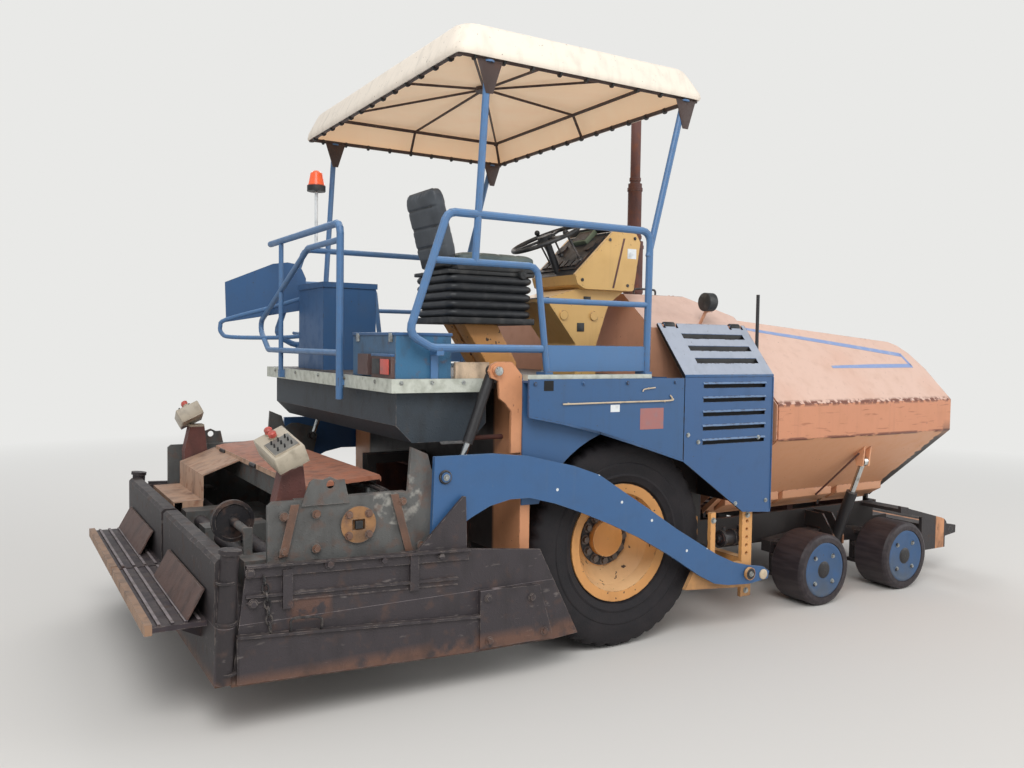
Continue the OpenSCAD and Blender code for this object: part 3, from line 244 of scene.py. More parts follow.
def wing_wear_and_light(tree, at):
    """Rust blown through along both folds, scratches between them, and tar on the front lower edge; the lower
    slope is painted paler as painted light from below.
    """
    fold = together(tree, between(tree, at, "Z", 1.372, 1.42, 0.016),
                    patches(tree, at, 34, 0.44, 0.52, 5, seed=11))
    scratched = together(tree, between(tree, at, "Z", 1.17, 1.40, 0.02),
                         patches(tree, at, 24, 0.6, 0.66, 4, stretch=(0.12, 1, 1), seed=12))
    low_fold = together(tree, between(tree, at, "Z", 1.152, 1.182, 0.008),
                        patches(tree, at, 60, 0.44, 0.52, 4, stretch=(0.4, 1, 1), seed=14))
    # Painted light: below the lower fold the wing is painted paler, as if lit from the ground.
    painted_underside_light = along(tree, at, "Z", 1.169, 1.163)
    ragged = add(tree, "ShaderNodeTexNoise", None, {"Vector": at, "Scale": 22.0, "Detail": 6.0}).outputs[0]
    front = add(tree, "ShaderNodeSeparateXYZ", None, {0: at}).outputs["X"]
    shifted = add(tree, "ShaderNodeMath", {"operation": "MULTIPLY_ADD"},
                  {0: ragged, 1: 0.11, 2: front}).outputs[0]
    rubbed = add(tree, "ShaderNodeMapRange", None,
                 {"Value": shifted, "From Min": 2.452, "From Max": 2.47}).outputs[0]
    tar = together(tree, rubbed, along(tree, at, "Z", 1.25, 1.1))
    normal = add(tree, "ShaderNodeSeparateXYZ", None,
                 {0: add(tree, "ShaderNodeNewGeometry").outputs["Normal"]}).outputs["Y"]
    across = add(tree, "ShaderNodeSeparateXYZ", None, {0: at}).outputs["Y"]
    inward = part(tree, across, normal)
    inside = add(tree, "ShaderNodeMapRange", None,
                 {"Value": inward, "From Min": -0.06, "From Max": -0.2}).outputs[0]
    scoured = together(tree, inside, patches(tree, at, 160, 0.42, 0.62, 6, seed=13))
    return [(part(tree, painted_underside_light, 0.8), rgb("#E6AC84")), (fold, rgb("#7A4A3A")),
            (part(tree, scratched, 0.6), rgb("#9A5D40")), (low_fold, rgb("#7E4C3A")),
            (tar, rgb("#2B2726")), (inside, rgb("#6A4C3C")), (scoured, rgb("#35302D"))]


def frame_grime(tree, at):
    """The main frame is black with oil and tar inside and low down; only outer plates stay orange."""
    across = add(tree, "ShaderNodeSeparateXYZ", None, {0: at}).outputs["Y"]
    offset = add(tree, "ShaderNodeMath", {"operation": "ABSOLUTE"}, {0: across}).outputs[0]
    inside = add(tree, "ShaderNodeMapRange", None,
                 {"Value": offset, "From Min": 0.93, "From Max": 0.90}).outputs[0]
    return [(inside, rgb("#2f2b2a"))]


WAVE_TURN = 6.3  # a wave texture repeats about once in 6.3 scaled units
PLATE_PITCH = 28


def tread_plate(tree, at):
    """Raised bars of the deck plate, 28 mm apart, in rows that cross."""
    turned = add(tree, "ShaderNodeMapping", None,
                 {"Vector": at, "Rotation": (0, 0, math.radians(45)), "Scale": (1, 1, 0)}).outputs[0]
    checks = add(tree, "ShaderNodeTexChecker", None, {"Vector": turned, "Scale": 1000 / PLATE_PITCH})
    bars = add(tree, "ShaderNodeTexWave", {"wave_profile": "SIN"},
               {"Vector": turned, "Scale": 1000 / PLATE_PITCH / WAVE_TURN})
    return together(tree, checks.outputs["Fac"], bars.outputs["Fac"])


def screed_marks(tree, at):
    """Rust-orange flange and brown straps on the end plates, and white lime splashed beside them."""
    mirrored_at = both_sides_at(tree, at)
    flange = near(tree, mirrored_at, (2.124, 1.262, 0.893), 0.089)
    straps = together(tree, along(tree, mirrored_at, "Y", 1.2566, 1.2576),
                      along(tree, mirrored_at, "Z", 1.05, 1.045))
    splash = together(tree, near(tree, mirrored_at, (1.92, 1.25, 1.0), 0.13),
                      patches(tree, at, 40, 0.48, 0.66, 5, seed=9))
    wheel = near(tree, mirrored_at, (2.58, 0.722, 0.856), 0.112)
    return [(wheel, rgb("#232124")), (part(tree, splash, 0.8), rgb("#A5A29A")),
            (flange, rgb("#9A7048")), (straps, rgb("#6E5040"))]


def gate_marks(tree, at):
    """Rust on the gate's foot and plate, timber on the walkway's edge, red-brown on its board."""
    foot = together(tree, along(tree, at, "Z", 0.30, 0.25), patches(tree, at, 90, 0.34, 0.5, 5, seed=9))
    edge = along(tree, at, "X", -3.0185, -3.0195)
    board = together(tree, along(tree, at, "Z", 0.511, 0.513), along(tree, at, "X", -2.885, -2.88),
                     along(tree, at, "X", -2.795, -2.797))
    ribs = together(tree, along(tree, at, "Z", 0.5075, 0.5085), along(tree, at, "Z", 0.5095, 0.5092))
    plank = together(tree, along(tree, at, "X", -2.79, -2.7905), along(tree, at, "Z", 0.5105, 0.51))
    rear = along(tree, at, "X", -2.69, -2.695)
    bare = together(tree, between(tree, at, "X", -2.485, -2.26, 0.025),
                    between(tree, at, "Z", 0.48, 0.60, 0.02),
                    patches(tree, at, 50, 0.4, 0.5, 5, seed=10))
    scuffs = patches(tree, at, 30, 0.66, 0.72, 4, stretch=(0.3, 1, 1), seed=11)
    return [(rear, rgb("#2C2628")), (part(tree, bare, 0.75), rgb("#65473A")),
            (part(tree, scuffs, 0.4), rgb("#8A817C")), (plank, rgb("#3A3136")), (ribs, rgb("#8C8284")),
            (part(tree, foot, 0.7), rgb("#74513F")), (board, rgb("#5E463E")), (edge, rgb("#9C7B62"))]


def cover_marks(tree, at):
    """The stepped cover over the guide rods is tan; the long one is rust-orange."""
    return [(along(tree, at, "X", -2.286, -2.289), rgb("#B8957C"))]


def station_marks(tree, at):
    """Cream control boxes on red-brown posts."""
    return [(along(tree, at, "Z", 1.163, 1.168), rgb("#B8AD9A"))]


def box_marks(tree, at):
    """The tall rear box is blue but for its brown back; what stands before it is pale tan."""
    sides = together(tree, along(tree, at, "X", -1.873, -1.869), along(tree, at, "X", -1.545, -1.55))
    return [(sides, rgb("#34678A")), (along(tree, at, "X", -1.55, -1.545), rgb("#D9BFA2"))]


def beyond(tree, at, start, along_y, along_z):
    """Metres from a line in Y and Z, the same for both sides of the machine."""
    place_at = add(tree, "ShaderNodeVectorMath", {"operation": "SUBTRACT"},
                   {0: both_sides_at(tree, at), 1: (0, *start)})
    return add(tree, "ShaderNodeVectorMath", {"operation": "DOT_PRODUCT"},
               {0: place_at.outputs[0], 1: (0, along_y, along_z)}).outputs["Value"]


CHIPS = ((1.009, 0.979), (0.755, 1.097), (0.731, 1.045), (0.572, 0.877), (0.306, 0.822), (0.353, 0.754),
         (0.082, 0.549))
CHIP_R = 0.0085


def arm_chips(tree, at):
    """Small white chips in the blue of the tow arms."""
    mirrored_at = both_sides_at(tree, at)
    return [(near(tree, mirrored_at, (x, SIDE_Y, z), CHIP_R), rgb("#D3D8DA")) for x, z in CHIPS]


def beam_marks(tree, at):
    """The front beam keeps its orange only on its outer end."""
    end = together(tree, along(tree, at, "X", 2.735, 2.74), along(tree, at, "X", 2.846, 2.843))
    return [(end, rgb("#CC9066"))]


def post_marks(tree, at):
    """Black pump between the legs of the yellow tow post."""
    in_section = add(tree, "ShaderNodeVectorMath", {"operation": "MULTIPLY"},
                     {0: both_sides_at(tree, at), 1: (0, 1, 1)}).outputs[0]
    return [*frame_grime(tree, at), (near(tree, in_section, (0, 1.15, 0.56), 0.062), rgb("#242326"))]


def rim_oil(tree, at):
    """Oil spots thrown on the rim."""
    return [(patches(tree, at, 38, 0.66, 0.69, 2, seed=8), rgb("#4A382C"))]


DOOR_FOLD = (SIDE_Y, 1.584)
DOOR_SLOPE = (0.7637, 0.6455)


def door_slot_shade(tree, at):
    """Painted shade: inside its skin a door is painted near-black, so its slots show dark."""
    face = beyond(tree, at, DOOR_FOLD, 1, 0)
    slope = beyond(tree, at, DOOR_FOLD, *DOOR_SLOPE)
    depth = add(tree, "ShaderNodeMath", {"operation": "MAXIMUM"}, {0: face, 1: slope}).outputs[0]
    # Painted shade: deeper than 1.5 mm under the outer skin the door is near-black.
    inside = add(tree, "ShaderNodeMapRange", None,
                 {"Value": depth, "From Min": -0.0015, "From Max": -0.002}).outputs[0]
    return [(inside, rgb("#121213"))]


PANEL_FOOT = Vector((-0.632, 2.170))
PANEL_RUN = Vector((0.715, 0.699))
PANEL_OUT = Vector((-0.699, 0.715))


def console_marks(tree, at):
    """Black panel, keys and column on the console's slope, between its yellow side plates."""
    foot = (PANEL_FOOT.x, 0, PANEL_FOOT.y)
    out = (PANEL_OUT.x, 0, PANEL_OUT.y)
    off = add(tree, "ShaderNodeVectorMath", {"operation": "SUBTRACT"}, {0: at, 1: foot}).outputs[0]
    above = add(tree, "ShaderNodeVectorMath", {"operation": "DOT_PRODUCT"}, {0: off, 1: out}).outputs["Value"]
    proud = add(tree, "ShaderNodeMapRange", None,
                {"Value": above, "From Min": -0.002, "From Max": -0.001}).outputs[0]
    panel = together(tree, proud, between(tree, at, "Y", -0.838, -0.402, 0.001))
    return [(panel, rgb("#26272A"))]


# Alkyd enamel, sprayed once and left to bleach in the sun: peach where the sky sees it, partly as painted sky
# light; deep orange below
orange_enamel = weathered_enamel("orange_enamel", "#D09A7C", "#DABBAC", "#C58D70", "#7A4A3A", "#8A6A55")
wing_enamel = weathered_enamel("wing_enamel", "#CB8A67", "#E4C6B6", "#C28160", "#7A4A3A", "#A9805F",
                               wing_wear_and_light)
frame_enamel = weathered_enamel("frame_enamel", "#CE9068", "#E0B290", "#C2855E", "#7A4A3A", "#4F4038",
                                frame_grime, grime_top=0.6)
# The same enamel in blue: its base is darkened part way as painted shade, and it goes pale sky blue on the
# sloping tops, partly chalking and partly painted sky light
blue_enamel = weathered_enamel("blue_enamel", "#365A84", "#8199B8", "#31547C", "#3E3734", "#4A5460",
                               grime_top=0.4)
# Door paint: the same blue base darkened part way as painted shade; its sloping tops go paler over a wider
# range of slope, partly chalking and partly painted sky light, and its slots get painted shade
door_enamel = weathered_enamel("door_enamel", "#365A86", "#A6ADBA", "#315480", "#3E3734", "#4A5460",
                               door_slot_shade, fade_and_skylight=(0.1, 0.6), grime_top=0.4)
arm_enamel = weathered_enamel("arm_enamel", "#39608D", "#5D80A8", "#345883", "#5B6C80", "#44505C",
                              arm_chips, grime_top=0.3)
# Enamel on tube, in the hand all day: glossier, with few chips
rail_enamel = weathered_enamel("rail_enamel", "#4D739E", "#7393B8", "#456A94", "#5E5A57", "#62707F",
                               grime_top=0.2)
# Yellow-orange enamel of the rims and the console, with oil thrown on it
yellow_enamel = weathered_enamel("yellow_enamel", "#D5995A", "#E4B988", "#C98B50", "#5B3E2B", "#94683F",
                                 rim_oil, grime_top=0.35)
cap_enamel = weathered_enamel("cap_enamel", "#D6934F", "#E0AC74", "#CA8747", "#5B3E2B", "#94683F",
                              grime_top=0.35)
post_enamel = weathered_enamel("post_enamel", "#D9A063", "#E6BD8C", "#CF9455", "#7A4A3A", "#6B523C",
                               post_marks, grime_top=0.5)
console_enamel = weathered_enamel("console_enamel", "#D0A868", "#E0C296", "#C89E5E", "#6B4A33",
                                  "#B08756", console_marks, grime_top=0.2)

# Hot-rolled steel by part of the machine
dark_steel = grimy_steel("tarred_steel", "#383334", "#503D34", "#232021", 0.56)
beam_steel = grimy_steel("beam_steel", "#343031", "#4E3B32", "#232021", 0.56, extra=beam_marks)
skirt_steel = grimy_steel("skirt_steel", "#323B43", "#43403F", "#252628", 0.6)
screed_steel = grimy_steel("screed_steel", "#5B5B59", "#6B5145", "#383433", 0.5, extra=screed_marks)
gate_steel = grimy_steel("gate_steel", "#393336", "#57433B", "#272324", 0.56, extra=gate_marks)
rusty_steel = grimy_steel("rusty_steel", "#63403A", "#7D4D38", "#352725", 0.5, 0.7)
primer_steel = grimy_steel("red_primer", "#663E38", "#7C4E3F", "#3C2A27", 0.6, 0.65, extra=station_marks)
box_steel = grimy_steel("box_enamel", "#5A4440", "#6B4A3C", "#3A3230", 0.6, 0.6, extra=box_marks)
cover_steel = grimy_steel("cover_steel", "#B07258", "#8A5138", "#5A4036", 0.55, 0.65, extra=cover_marks)
canopy_steel = grimy_steel("canopy_tube", "#41302B", "#573A2E", "#2E221F", 0.6, 0.55)
black_steel = grimy_steel("black_enamel", "#262527", "#3B312C", "#191819", 0.66, 0.45)
worn_auger = grimy_steel("worn_auger", "#6B625C", "#75584A", "#2D2927", 0.55, 0.45, 0.6)


def zinc(tree, at):
    """Electroplated zinc, dulled: the grey changes a little from one head to the next."""
    return {"Base Color": layered(tree, rgb("#AEB2B0"),
                                  (patches(tree, at, 30, 0.45, 0.7, 3), rgb("#7C7A74")),
                                  (patches(tree, at, 9, 0.62, 0.7, 2, seed=2), rgb("#5F4A3C"))),
            "Roughness": patches(tree, at, 12, -0.4, 1.6, 2, seed=3)}


def chrome(tree, at):
    """Hard chrome on a ground rod, with fine turning lines too small to draw at true pitch."""
    rings = patches(tree, at, 3, 0.3, 0.7, 1, stretch=(0.2, 0.2, 1))
    return {"Base Color": layered(tree, rgb("#C9CCCB"),
                                  (patches(tree, at, 60, 0.6, 0.72, 4), rgb("#8B857D"))),
            "Normal": relief(tree, rings, 0.05)}


def alloy(tree, at):
    """Raised-pattern aluminium strip, grey-green with dirt and bright on its rubbed edges."""
    dirt = patches(tree, at, 45, 0.42, 0.66, 5)
    return {"Base Color": layered(tree, rgb("#C6C9BE"), (part(tree, dirt, 0.7), rgb("#A4A79A")),
                                  (patches(tree, at, 30, 0.68, 0.76, 3, seed=2), rgb("#7B746A"))),
            "Roughness": patches(tree, at, 20, -0.6, 1.4, 2, seed=3),
            "Normal": relief(tree, patches(tree, at, 8, 0.4, 0.6, 1, seed=4), 0.2)}


def deck_plate(tree, at):
    """Tread plate under years of boots and dried mix."""
    bars = tread_plate(tree, at)
    dirt = patches(tree, at, 130, 0.38, 0.62, 6)
    return {"Base Color": layered(tree, rgb("#3E3B3A"), (dirt, rgb("#5F564F")), (bars, rgb("#6C655F"))),
            "Normal": relief(tree, bars, 1.2)}


def tyre_rubber(tree, at):
    """Vulcanised tread rubber, chalked brown-grey, with a dusty skin where it meets the road."""
    dust = patches(tree, at, 80, 0.4, 0.75, 5)
    scuff = patches(tree, at, 10, 0.5, 0.62, 4, seed=2)
    return {"Base Color": layered(tree, rgb("#1F1D20"), (part(tree, dust, 0.5), rgb("#3B3637"))),
            "Roughness": add(tree, "ShaderNodeMapRange", None,
                             {"Value": dust, "To Min": 0.62, "To Max": 0.85}).outputs[0],
            "Normal": relief(tree, scuff, 0.5)}


def solid_rubber(tree, at):
    """Press-on rubber, worn smooth and polished by slewing, purple-brown in daylight."""
    lines = patches(tree, at, 30, 0.4, 0.6, 4, stretch=(1, 0.15, 1))
    return {"Base Color": layered(tree, rgb("#302A2D"), (part(tree, lines, 0.4), rgb("#4C4446"))),
            "Normal": relief(tree, lines, 0.6)}


WEAVE_PITCH = 4


def canvas_weave(tree, at):
    """Plain weave of the cover: real threads are 0.6 mm apart, drawn 4 mm apart so that they show."""
    scale = 1000 / WEAVE_PITCH / WAVE_TURN
    warp = add(tree, "ShaderNodeTexWave", {"bands_direction": "X"}, {"Vector": at, "Scale": scale})
    weft = add(tree, "ShaderNodeTexWave", {"bands_direction": "Y"}, {"Vector": at, "Scale": scale})
    threads = {0: warp.outputs["Fac"], 1: weft.outputs["Fac"]}
    return add(tree, "ShaderNodeMath", {"operation": "MAXIMUM"}, threads).outputs[0]


def canvas_outside(tree, at):
    """Coated cotton canvas, cream, with grey runs and mildew down its sides."""
    runs = patches(tree, at, 60, 0.5, 0.78, 4, stretch=(1, 1, 0.2))
    spots = patches(tree, at, 18, 0.68, 0.74, 3, seed=2)
    return {"Base Color": layered(tree, rgb("#EBDFCF"), (part(tree, runs, 0.5), rgb("#BFB6A9")),
                                  (spots, rgb("#A79C8E"))),
            "Normal": relief(tree, canvas_weave(tree, at), 0.15)}


def canvas_inside(tree, at):
    """The uncoated face of the canvas, tan; its material glows warm as painted light for the daylight that
    comes through.
    """
    stain = patches(tree, at, 300, 0.4, 0.7, 4)
    return {"Base Color": layered(tree, rgb("#EBD1B4"), (part(tree, stain, 0.4), rgb("#DBB891"))),
            "Normal": relief(tree, canvas_weave(tree, at), 0.15)}


def vinyl(colour, worn_colour):
    """Leather-grain vinyl: soft pebbles 3 mm across, paler where it is sat on."""

    def make(tree, at):
        grain = add(tree, "ShaderNodeTexVoronoi", None, {"Vector": at, "Scale": 330.0}).outputs["Distance"]
        worn = patches(tree, at, 150, 0.4, 0.7, 4)
        return {"Base Color": layered(tree, rgb(colour), (worn, rgb(worn_colour))),
                "Normal": relief(tree, grain, 0.35)}

    return make


def moulded(colour, dusty):
    """Injection-moulded plastic or rubber with a spark-eroded grain and dust in it."""

    def make(tree, at):
        grain = patches(tree, at, 2.5, 0.3, 0.7, 1)
        dust = patches(tree, at, 50, 0.5, 0.8, 4, seed=2)
        return {"Base Color": layered(tree, rgb(colour), (dust, rgb(dusty))),
                "Normal": relief(tree, grain, 0.12)}

    return make


def amber(tree, at):
    """Ribbed polycarbonate lens, orange-red, chalky on top."""
    chalk = together(tree, facing_up(tree, 0.4, 1), patches(tree, at, 20, 0.3, 0.7))
    return {"Base Color": layered(tree, rgb("#F0643A"), (chalk, rgb("#F4906A")))}


zinc_plate = finish("zinc_plate", {"Metallic": 0.75}, zinc)
hard_chrome = finish("hard_chrome", {"Metallic": 1.0, "Roughness": 0.22}, chrome)
step_alloy = finish("tread_aluminium", {"Metallic": 0.25}, alloy)
deck_steel = finish("tread_plate", {"Roughness": 0.6}, deck_plate)
rubber = finish("tyre_rubber", {"Specular IOR Level": 0.3}, tyre_rubber)
hard_rubber = finish("solid_tyre_rubber", {"Roughness": 0.5, "Specular IOR Level": 0.35}, solid_rubber)
cloth_out = finish("canvas_outside", {"Roughness": 0.85, "Sheen Weight": 0.15}, canvas_outside)
# Painted light: the inner face of the canvas glows with a warm emission in place of daylight through the
# cloth.
cloth_in = finish("canvas_inside", {"Roughness": 0.9, "Sheen Weight": 0.1, "Emission Color": rgb("#E6C8A6"),
                                    "Emission Strength": 0.34}, canvas_inside)
seat_vinyl = finish("seat_vinyl", {"Roughness": 0.5}, vinyl("#4D5958", "#66716E"))
back_vinyl = finish("back_vinyl", {"Roughness": 0.5}, vinyl("#35393E", "#484D52"))
black_plastic = finish("black_plastic", {"Roughness": 0.5}, moulded("#232425", "#4A4846"))
bellows_rubber = finish("bellows_rubber", {"Roughness": 0.42}, moulded("#26282B", "#3F3F40"))
cream_plastic = finish("cream_plastic", {"Roughness": 0.45}, moulded("#B8AD9A", "#8E8474"))
red_plastic = finish("red_plastic", {"Roughness": 0.4}, moulded("#C4554A", "#8E5048"))
olive_plastic = finish("olive_plastic", {"Roughness": 0.5}, moulded("#66705C", "#57584A"))
# Near-black for painted shade, behind the door slots and in the fender's recess
painted_shade_black = finish("painted_shade_black", {"Roughness": 0.8}, moulded("#101011", "#161616"))
grey_plastic = finish("grey_plastic", {"Roughness": 0.5}, moulded("#706E69", "#8A867E"))
tan_paint = finish("tan_paint", {"Roughness": 0.5}, moulded("#C9B79C", "#A08E78"))
faded_red = finish("faded_red", {"Roughness": 0.6}, moulded("#A06A66", "#8A7478"))
white_paint = finish("white_paint", {"Roughness": 0.55}, moulded("#DDE1E2", "#A8ABAB"))
amber_lens = finish("amber_lens", {"Roughness": 0.3, "Emission Color": rgb("#F0643A"),
                                   "Emission Strength": 0.15}, amber)
stripe_blue = finish("stripe_film", {"Roughness": 0.5}, moulded("#8AA0CC", "#A9B4CC"))

# Nodes by their finish; a name stands for its left and right ones too
FINISHES = {
    orange_enamel: "engine_hood",
    wing_enamel: "wing",
    frame_enamel: "frame bulkhead",
    post_enamel: "tow_posts",
    beam_steel: "front_beam",
    blue_enamel: "fenders tank",
    door_enamel: "door",
    arm_enamel: "tow_arms",
    rail_enamel: "handrails",
    yellow_enamel: "drive_rim",
    console_enamel: "console",
    dark_steel: "final_drives bogie_beams engine_block conveyor knuckle_1 knuckle_2",
    skirt_steel: "platform_skirt",
    screed_steel: "screed_body",
    gate_steel: "extension walkway",
    rusty_steel: "exhaust tunnel",
    primer_steel: "control_stations",
    box_steel: "rear_boxes",
    cover_steel: "screed_covers",
    canopy_steel: "canopy_frame",
    worn_auger: "auger",
    black_steel: "wing_barrel lift_barrels sight_rods push_rollers",
    hard_chrome: "wing_rod lift_rods",
    step_alloy: "step_edges",
    deck_steel: "deck",
    rubber: "drive_tyre",
    hard_rubber: "front_wheel_1 front_wheel_2",
    cloth_out: "canopy_cover",
    seat_vinyl: "seat",
    black_plastic: "steering_wheel seat_base",
    amber_lens: "beacon",
}


def paint_nodes():
    """Gives each CAD node its finish."""
    for material, names in FINISHES.items():
        for name in names.split():
            for node in {name, f"{name}_right", f"{name}_left"} & set(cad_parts):
                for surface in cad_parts[node].material_slots:
                    surface.material = material


paint_nodes()


# Shapes: each is (points, faces), closed

BEVEL_FROM = math.radians(30)
SHARP = 35


def bands(rows, count, closed=False):
    """Faces between rows of count points each; closed joins the last row to the first."""
    faces = []
    for i in range(rows if closed else rows - 1):
        this, following = i * count, (i + 1) % rows * count
        faces += [[this + k, this + (k + 1) % count, following + (k + 1) % count, following + k]
                  for k in range(count)]
    return faces


def stacked(rings):
    """A closed form through rings of as many points each."""
    count = len(rings[0])
    last = (len(rings) - 1) * count
    ends = [list(range(count)), list(range(last, last + count))]
    return [p for ring in rings for p in ring], ends + bands(len(rings), count)


def prism(outline, axis, low, high):
    """An outline run along one axis; it lies in the two others, in the order x, y, z."""
    slot = "xyz".index(axis)
    return stacked([[[*p[:slot], level, *p[slot:]] for p in outline] for level in (low, high)])


def box(low, high):
    """A block between two corners."""
    (x0, y0, z0), (x1, y1, z1) = low, high
    return prism([(x0, y0), (x1, y0), (x1, y1), (x0, y1)], "z", z0, z1)


def circle(count, radius, start=0.0):
    """Offsets of count places round a circle, the first at start degrees."""
    turns = [math.radians(start) + 2 * math.pi * i / count for i in range(count)]
    return [(radius * math.cos(a), radius * math.sin(a)) for a in turns]


def disc(centre, axis, radius, low, high, sides=24):
    """Round plate along x, y or z; centre holds the two other coordinates."""
    ring = [(centre[0] + u, centre[1] + v) for u, v in circle(sides, radius)]
    return prism(ring, axis, low, high)


def curve_through(knots, steps=6):
    """Points of a smooth curve through the knots."""
    knots = [Vector(k) for k in knots]
    ends = [2 * knots[0] - knots[1], *knots, 2 * knots[-1] - knots[-2]]
    path = []
    for a, b, c, d in zip(ends, ends[1:], ends[2:], ends[3:]):
        for i in range(steps):
            t = i / steps
            path.append(0.5 * (2 * b + (c - a) * t + (2 * a - 5 * b + 4 * c - d) * t * t
                               + (3 * b - a - 3 * c + d) * t**3))
    return path + [knots[-1]]


def tube(path, radius, sides=10):
    """Round bar along a path, its ends closed."""
    path = [Vector(p) for p in path]
    cross = (path[1] - path[0]).orthogonal()
    rings = []
    for behind, p, ahead in zip([path[0], *path], path, [*path[1:], path[-1]]):
        tangent = (ahead - behind).normalized()
        cross = (cross - tangent * cross.dot(tangent)).normalized()
        other = tangent.cross(cross)
        rings.append([p + u * cross + v * other for u, v in circle(sides, radius)])
    return stacked(rings)


def turned(profile, centre, axis, sides=48, shape=None):
    """A closed profile of (radius, distance along the axis) turned about a line through centre.
    shape(angle, radius, distance) may change a point's radius."""
    slot = "xyz".index(axis)
    points = []
    for i in range(sides):
        a = 2 * math.pi * i / sides
        for r, d in profile:
            if shape:
                r = shape(a, r, d)
            p = [r * math.cos(a), r * math.sin(a)]
            p.insert(slot, d)
            points.append([p[k] + centre[k] for k in range(3)])
    return points, bands(sides, len(profile), closed=True)


def mirrored(parts, side):
    """The parts as drawn for side -1, or mirrored to the left for side 1."""
    return [([(x, -side * y, z) for x, y, z in points], faces) for points, faces in parts]


def piece(name, parts, material, body, slot, bevel=0.0, sharp=SHARP):
    """One mesh of these parts, its edges eased and its faces outwards, that rides on a body."""
    points, faces = [], []
    for more_points, more_faces in parts:
        faces += [[i + len(points) for i in face] for face in more_faces]
        points += [tuple(p) for p in more_points]
    mesh = bpy.data.meshes.new(name)
    mesh.from_pydata(points, [], faces)
    work = bmesh.new()
    work.from_mesh(mesh)
    bmesh.ops.remove_doubles(work, verts=work.verts, dist=1e-5)
    bmesh.ops.recalc_face_normals(work, faces=work.faces)
    if bevel:
        folded = [e for e in work.edges if len(e.link_faces) == 2 and e.calc_face_angle(0) > BEVEL_FROM]
        bmesh.ops.bevel(work, geom=folded, offset=bevel, segments=2, profile=0.5, affect="EDGES",
                        clamp_overlap=True)
        bmesh.ops.recalc_face_normals(work, faces=work.faces)
    work.to_mesh(mesh)
    work.free()
    return place(name, mesh, material, body, slot, sharp)


def fitted(side, name, parts, material, body, slot, bevel=0.0):
    """A piece of one side of the machine, from parts drawn for the right."""
    parts = mirrored(parts, side)
    return piece(f"{name}_{SIDES[side]}", parts, material, body, slot, bevel)


def place(name, mesh, material, body, slot, sharp=SHARP, inner=None):
    """Puts a finished mesh on a body with its material."""
    mesh.shade_smooth()
    mesh.set_sharp_from_angle(angle=math.radians(sharp))
    mesh.materials.append(material)
    if inner:
        mesh.materials.append(inner)
    made = bpy.data.objects.new(name, mesh)
    scene.collection.objects.link(made)
    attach(made, body)
    return made


# Small hardware by geometry nodes


def new_tree(name, inputs):
    """An empty geometry node tree with named inputs."""
    tree = bpy.data.node_groups.new(name, "GeometryNodeTree")
    tree.interface.new_socket("Geometry", in_out="OUTPUT", socket_type="NodeSocketGeometry")
    tree.interface.new_socket("Geometry", in_out="INPUT", socket_type="NodeSocketGeometry")
    for label, kind in inputs:
        tree.interface.new_socket(label, in_out="INPUT", socket_type=kind)
    return tree


def bolt_tree():
    """A hexagon head on a washer at each point, standing along the point's axis."""
    tree = new_tree("hexagon_bolts", [("Across flats", "NodeSocketFloat"),
                                      ("Head height", "NodeSocketFloat"),
                                      ("Washer diameter", "NodeSocketFloat"),
                                      ("Finish", "NodeSocketMaterial")])
    given = add(tree, "NodeGroupInput").outputs
    radius = add(tree, "ShaderNodeMath", {"operation": "DIVIDE"},
                 {0: given["Across flats"], 1: math.sqrt(3)}).outputs[0]
    head = add(tree, "GeometryNodeMeshCylinder", None,
               {"Vertices": 6, "Radius": radius, "Depth": given["Head height"]})
    middle = add(tree, "ShaderNodeMath", {"operation": "DIVIDE"},
                 {0: given["Head height"], 1: 2.0}).outputs[0]
    rise = add(tree, "ShaderNodeCombineXYZ", None, {"Z": middle})
    standing = add(tree, "GeometryNodeTransform", None,
                   {"Geometry": head.outputs["Mesh"], "Translation": rise.outputs[0]})
    washer_r = add(tree, "ShaderNodeMath", {"operation": "DIVIDE"},
                   {0: given["Washer diameter"], 1: 2.0}).outputs[0]
    washer = add(tree, "GeometryNodeMeshCylinder", None,
                 {"Vertices": 14, "Radius": washer_r, "Depth": 0.006})
    bolt = add(tree, "GeometryNodeJoinGeometry")
    tree.links.new(standing.outputs[0], bolt.inputs[0])
    tree.links.new(washer.outputs["Mesh"], bolt.inputs[0])
    axis = add(tree, "GeometryNodeInputNamedAttribute", {"data_type": "FLOAT_VECTOR"}, {"Name": "axis"})
    facing = add(tree, "FunctionNodeAlignRotationToVector", {"axis": "Z"},
                 {"Vector": axis.outputs["Attribute"]})
    set_out = add(tree, "GeometryNodeInstanceOnPoints", None,
                  {"Points": given["Geometry"], "Instance": bolt.outputs[0], "Rotation": facing.outputs[0]})
    spin = add(tree, "FunctionNodeRandomValue", {"data_type": "FLOAT"}, {2: 0.0, 3: 1.0, "Seed": 7})
    turn = add(tree, "ShaderNodeCombineXYZ", None, {"Z": spin.outputs[1]})
    turned_heads = add(tree, "GeometryNodeRotateInstances", None,
                       {"Instances": set_out.outputs[0], "Rotation": turn.outputs[0]})
    real = add(tree, "GeometryNodeRealizeInstances", None, {0: turned_heads.outputs[0]})
    painted = add(tree, "GeometryNodeSetMaterial", None,
                  {"Geometry": real.outputs[0], "Material": given["Finish"]})
    add(tree, "NodeGroupOutput", None, {"Geometry": painted.outputs[0]})
    return tree


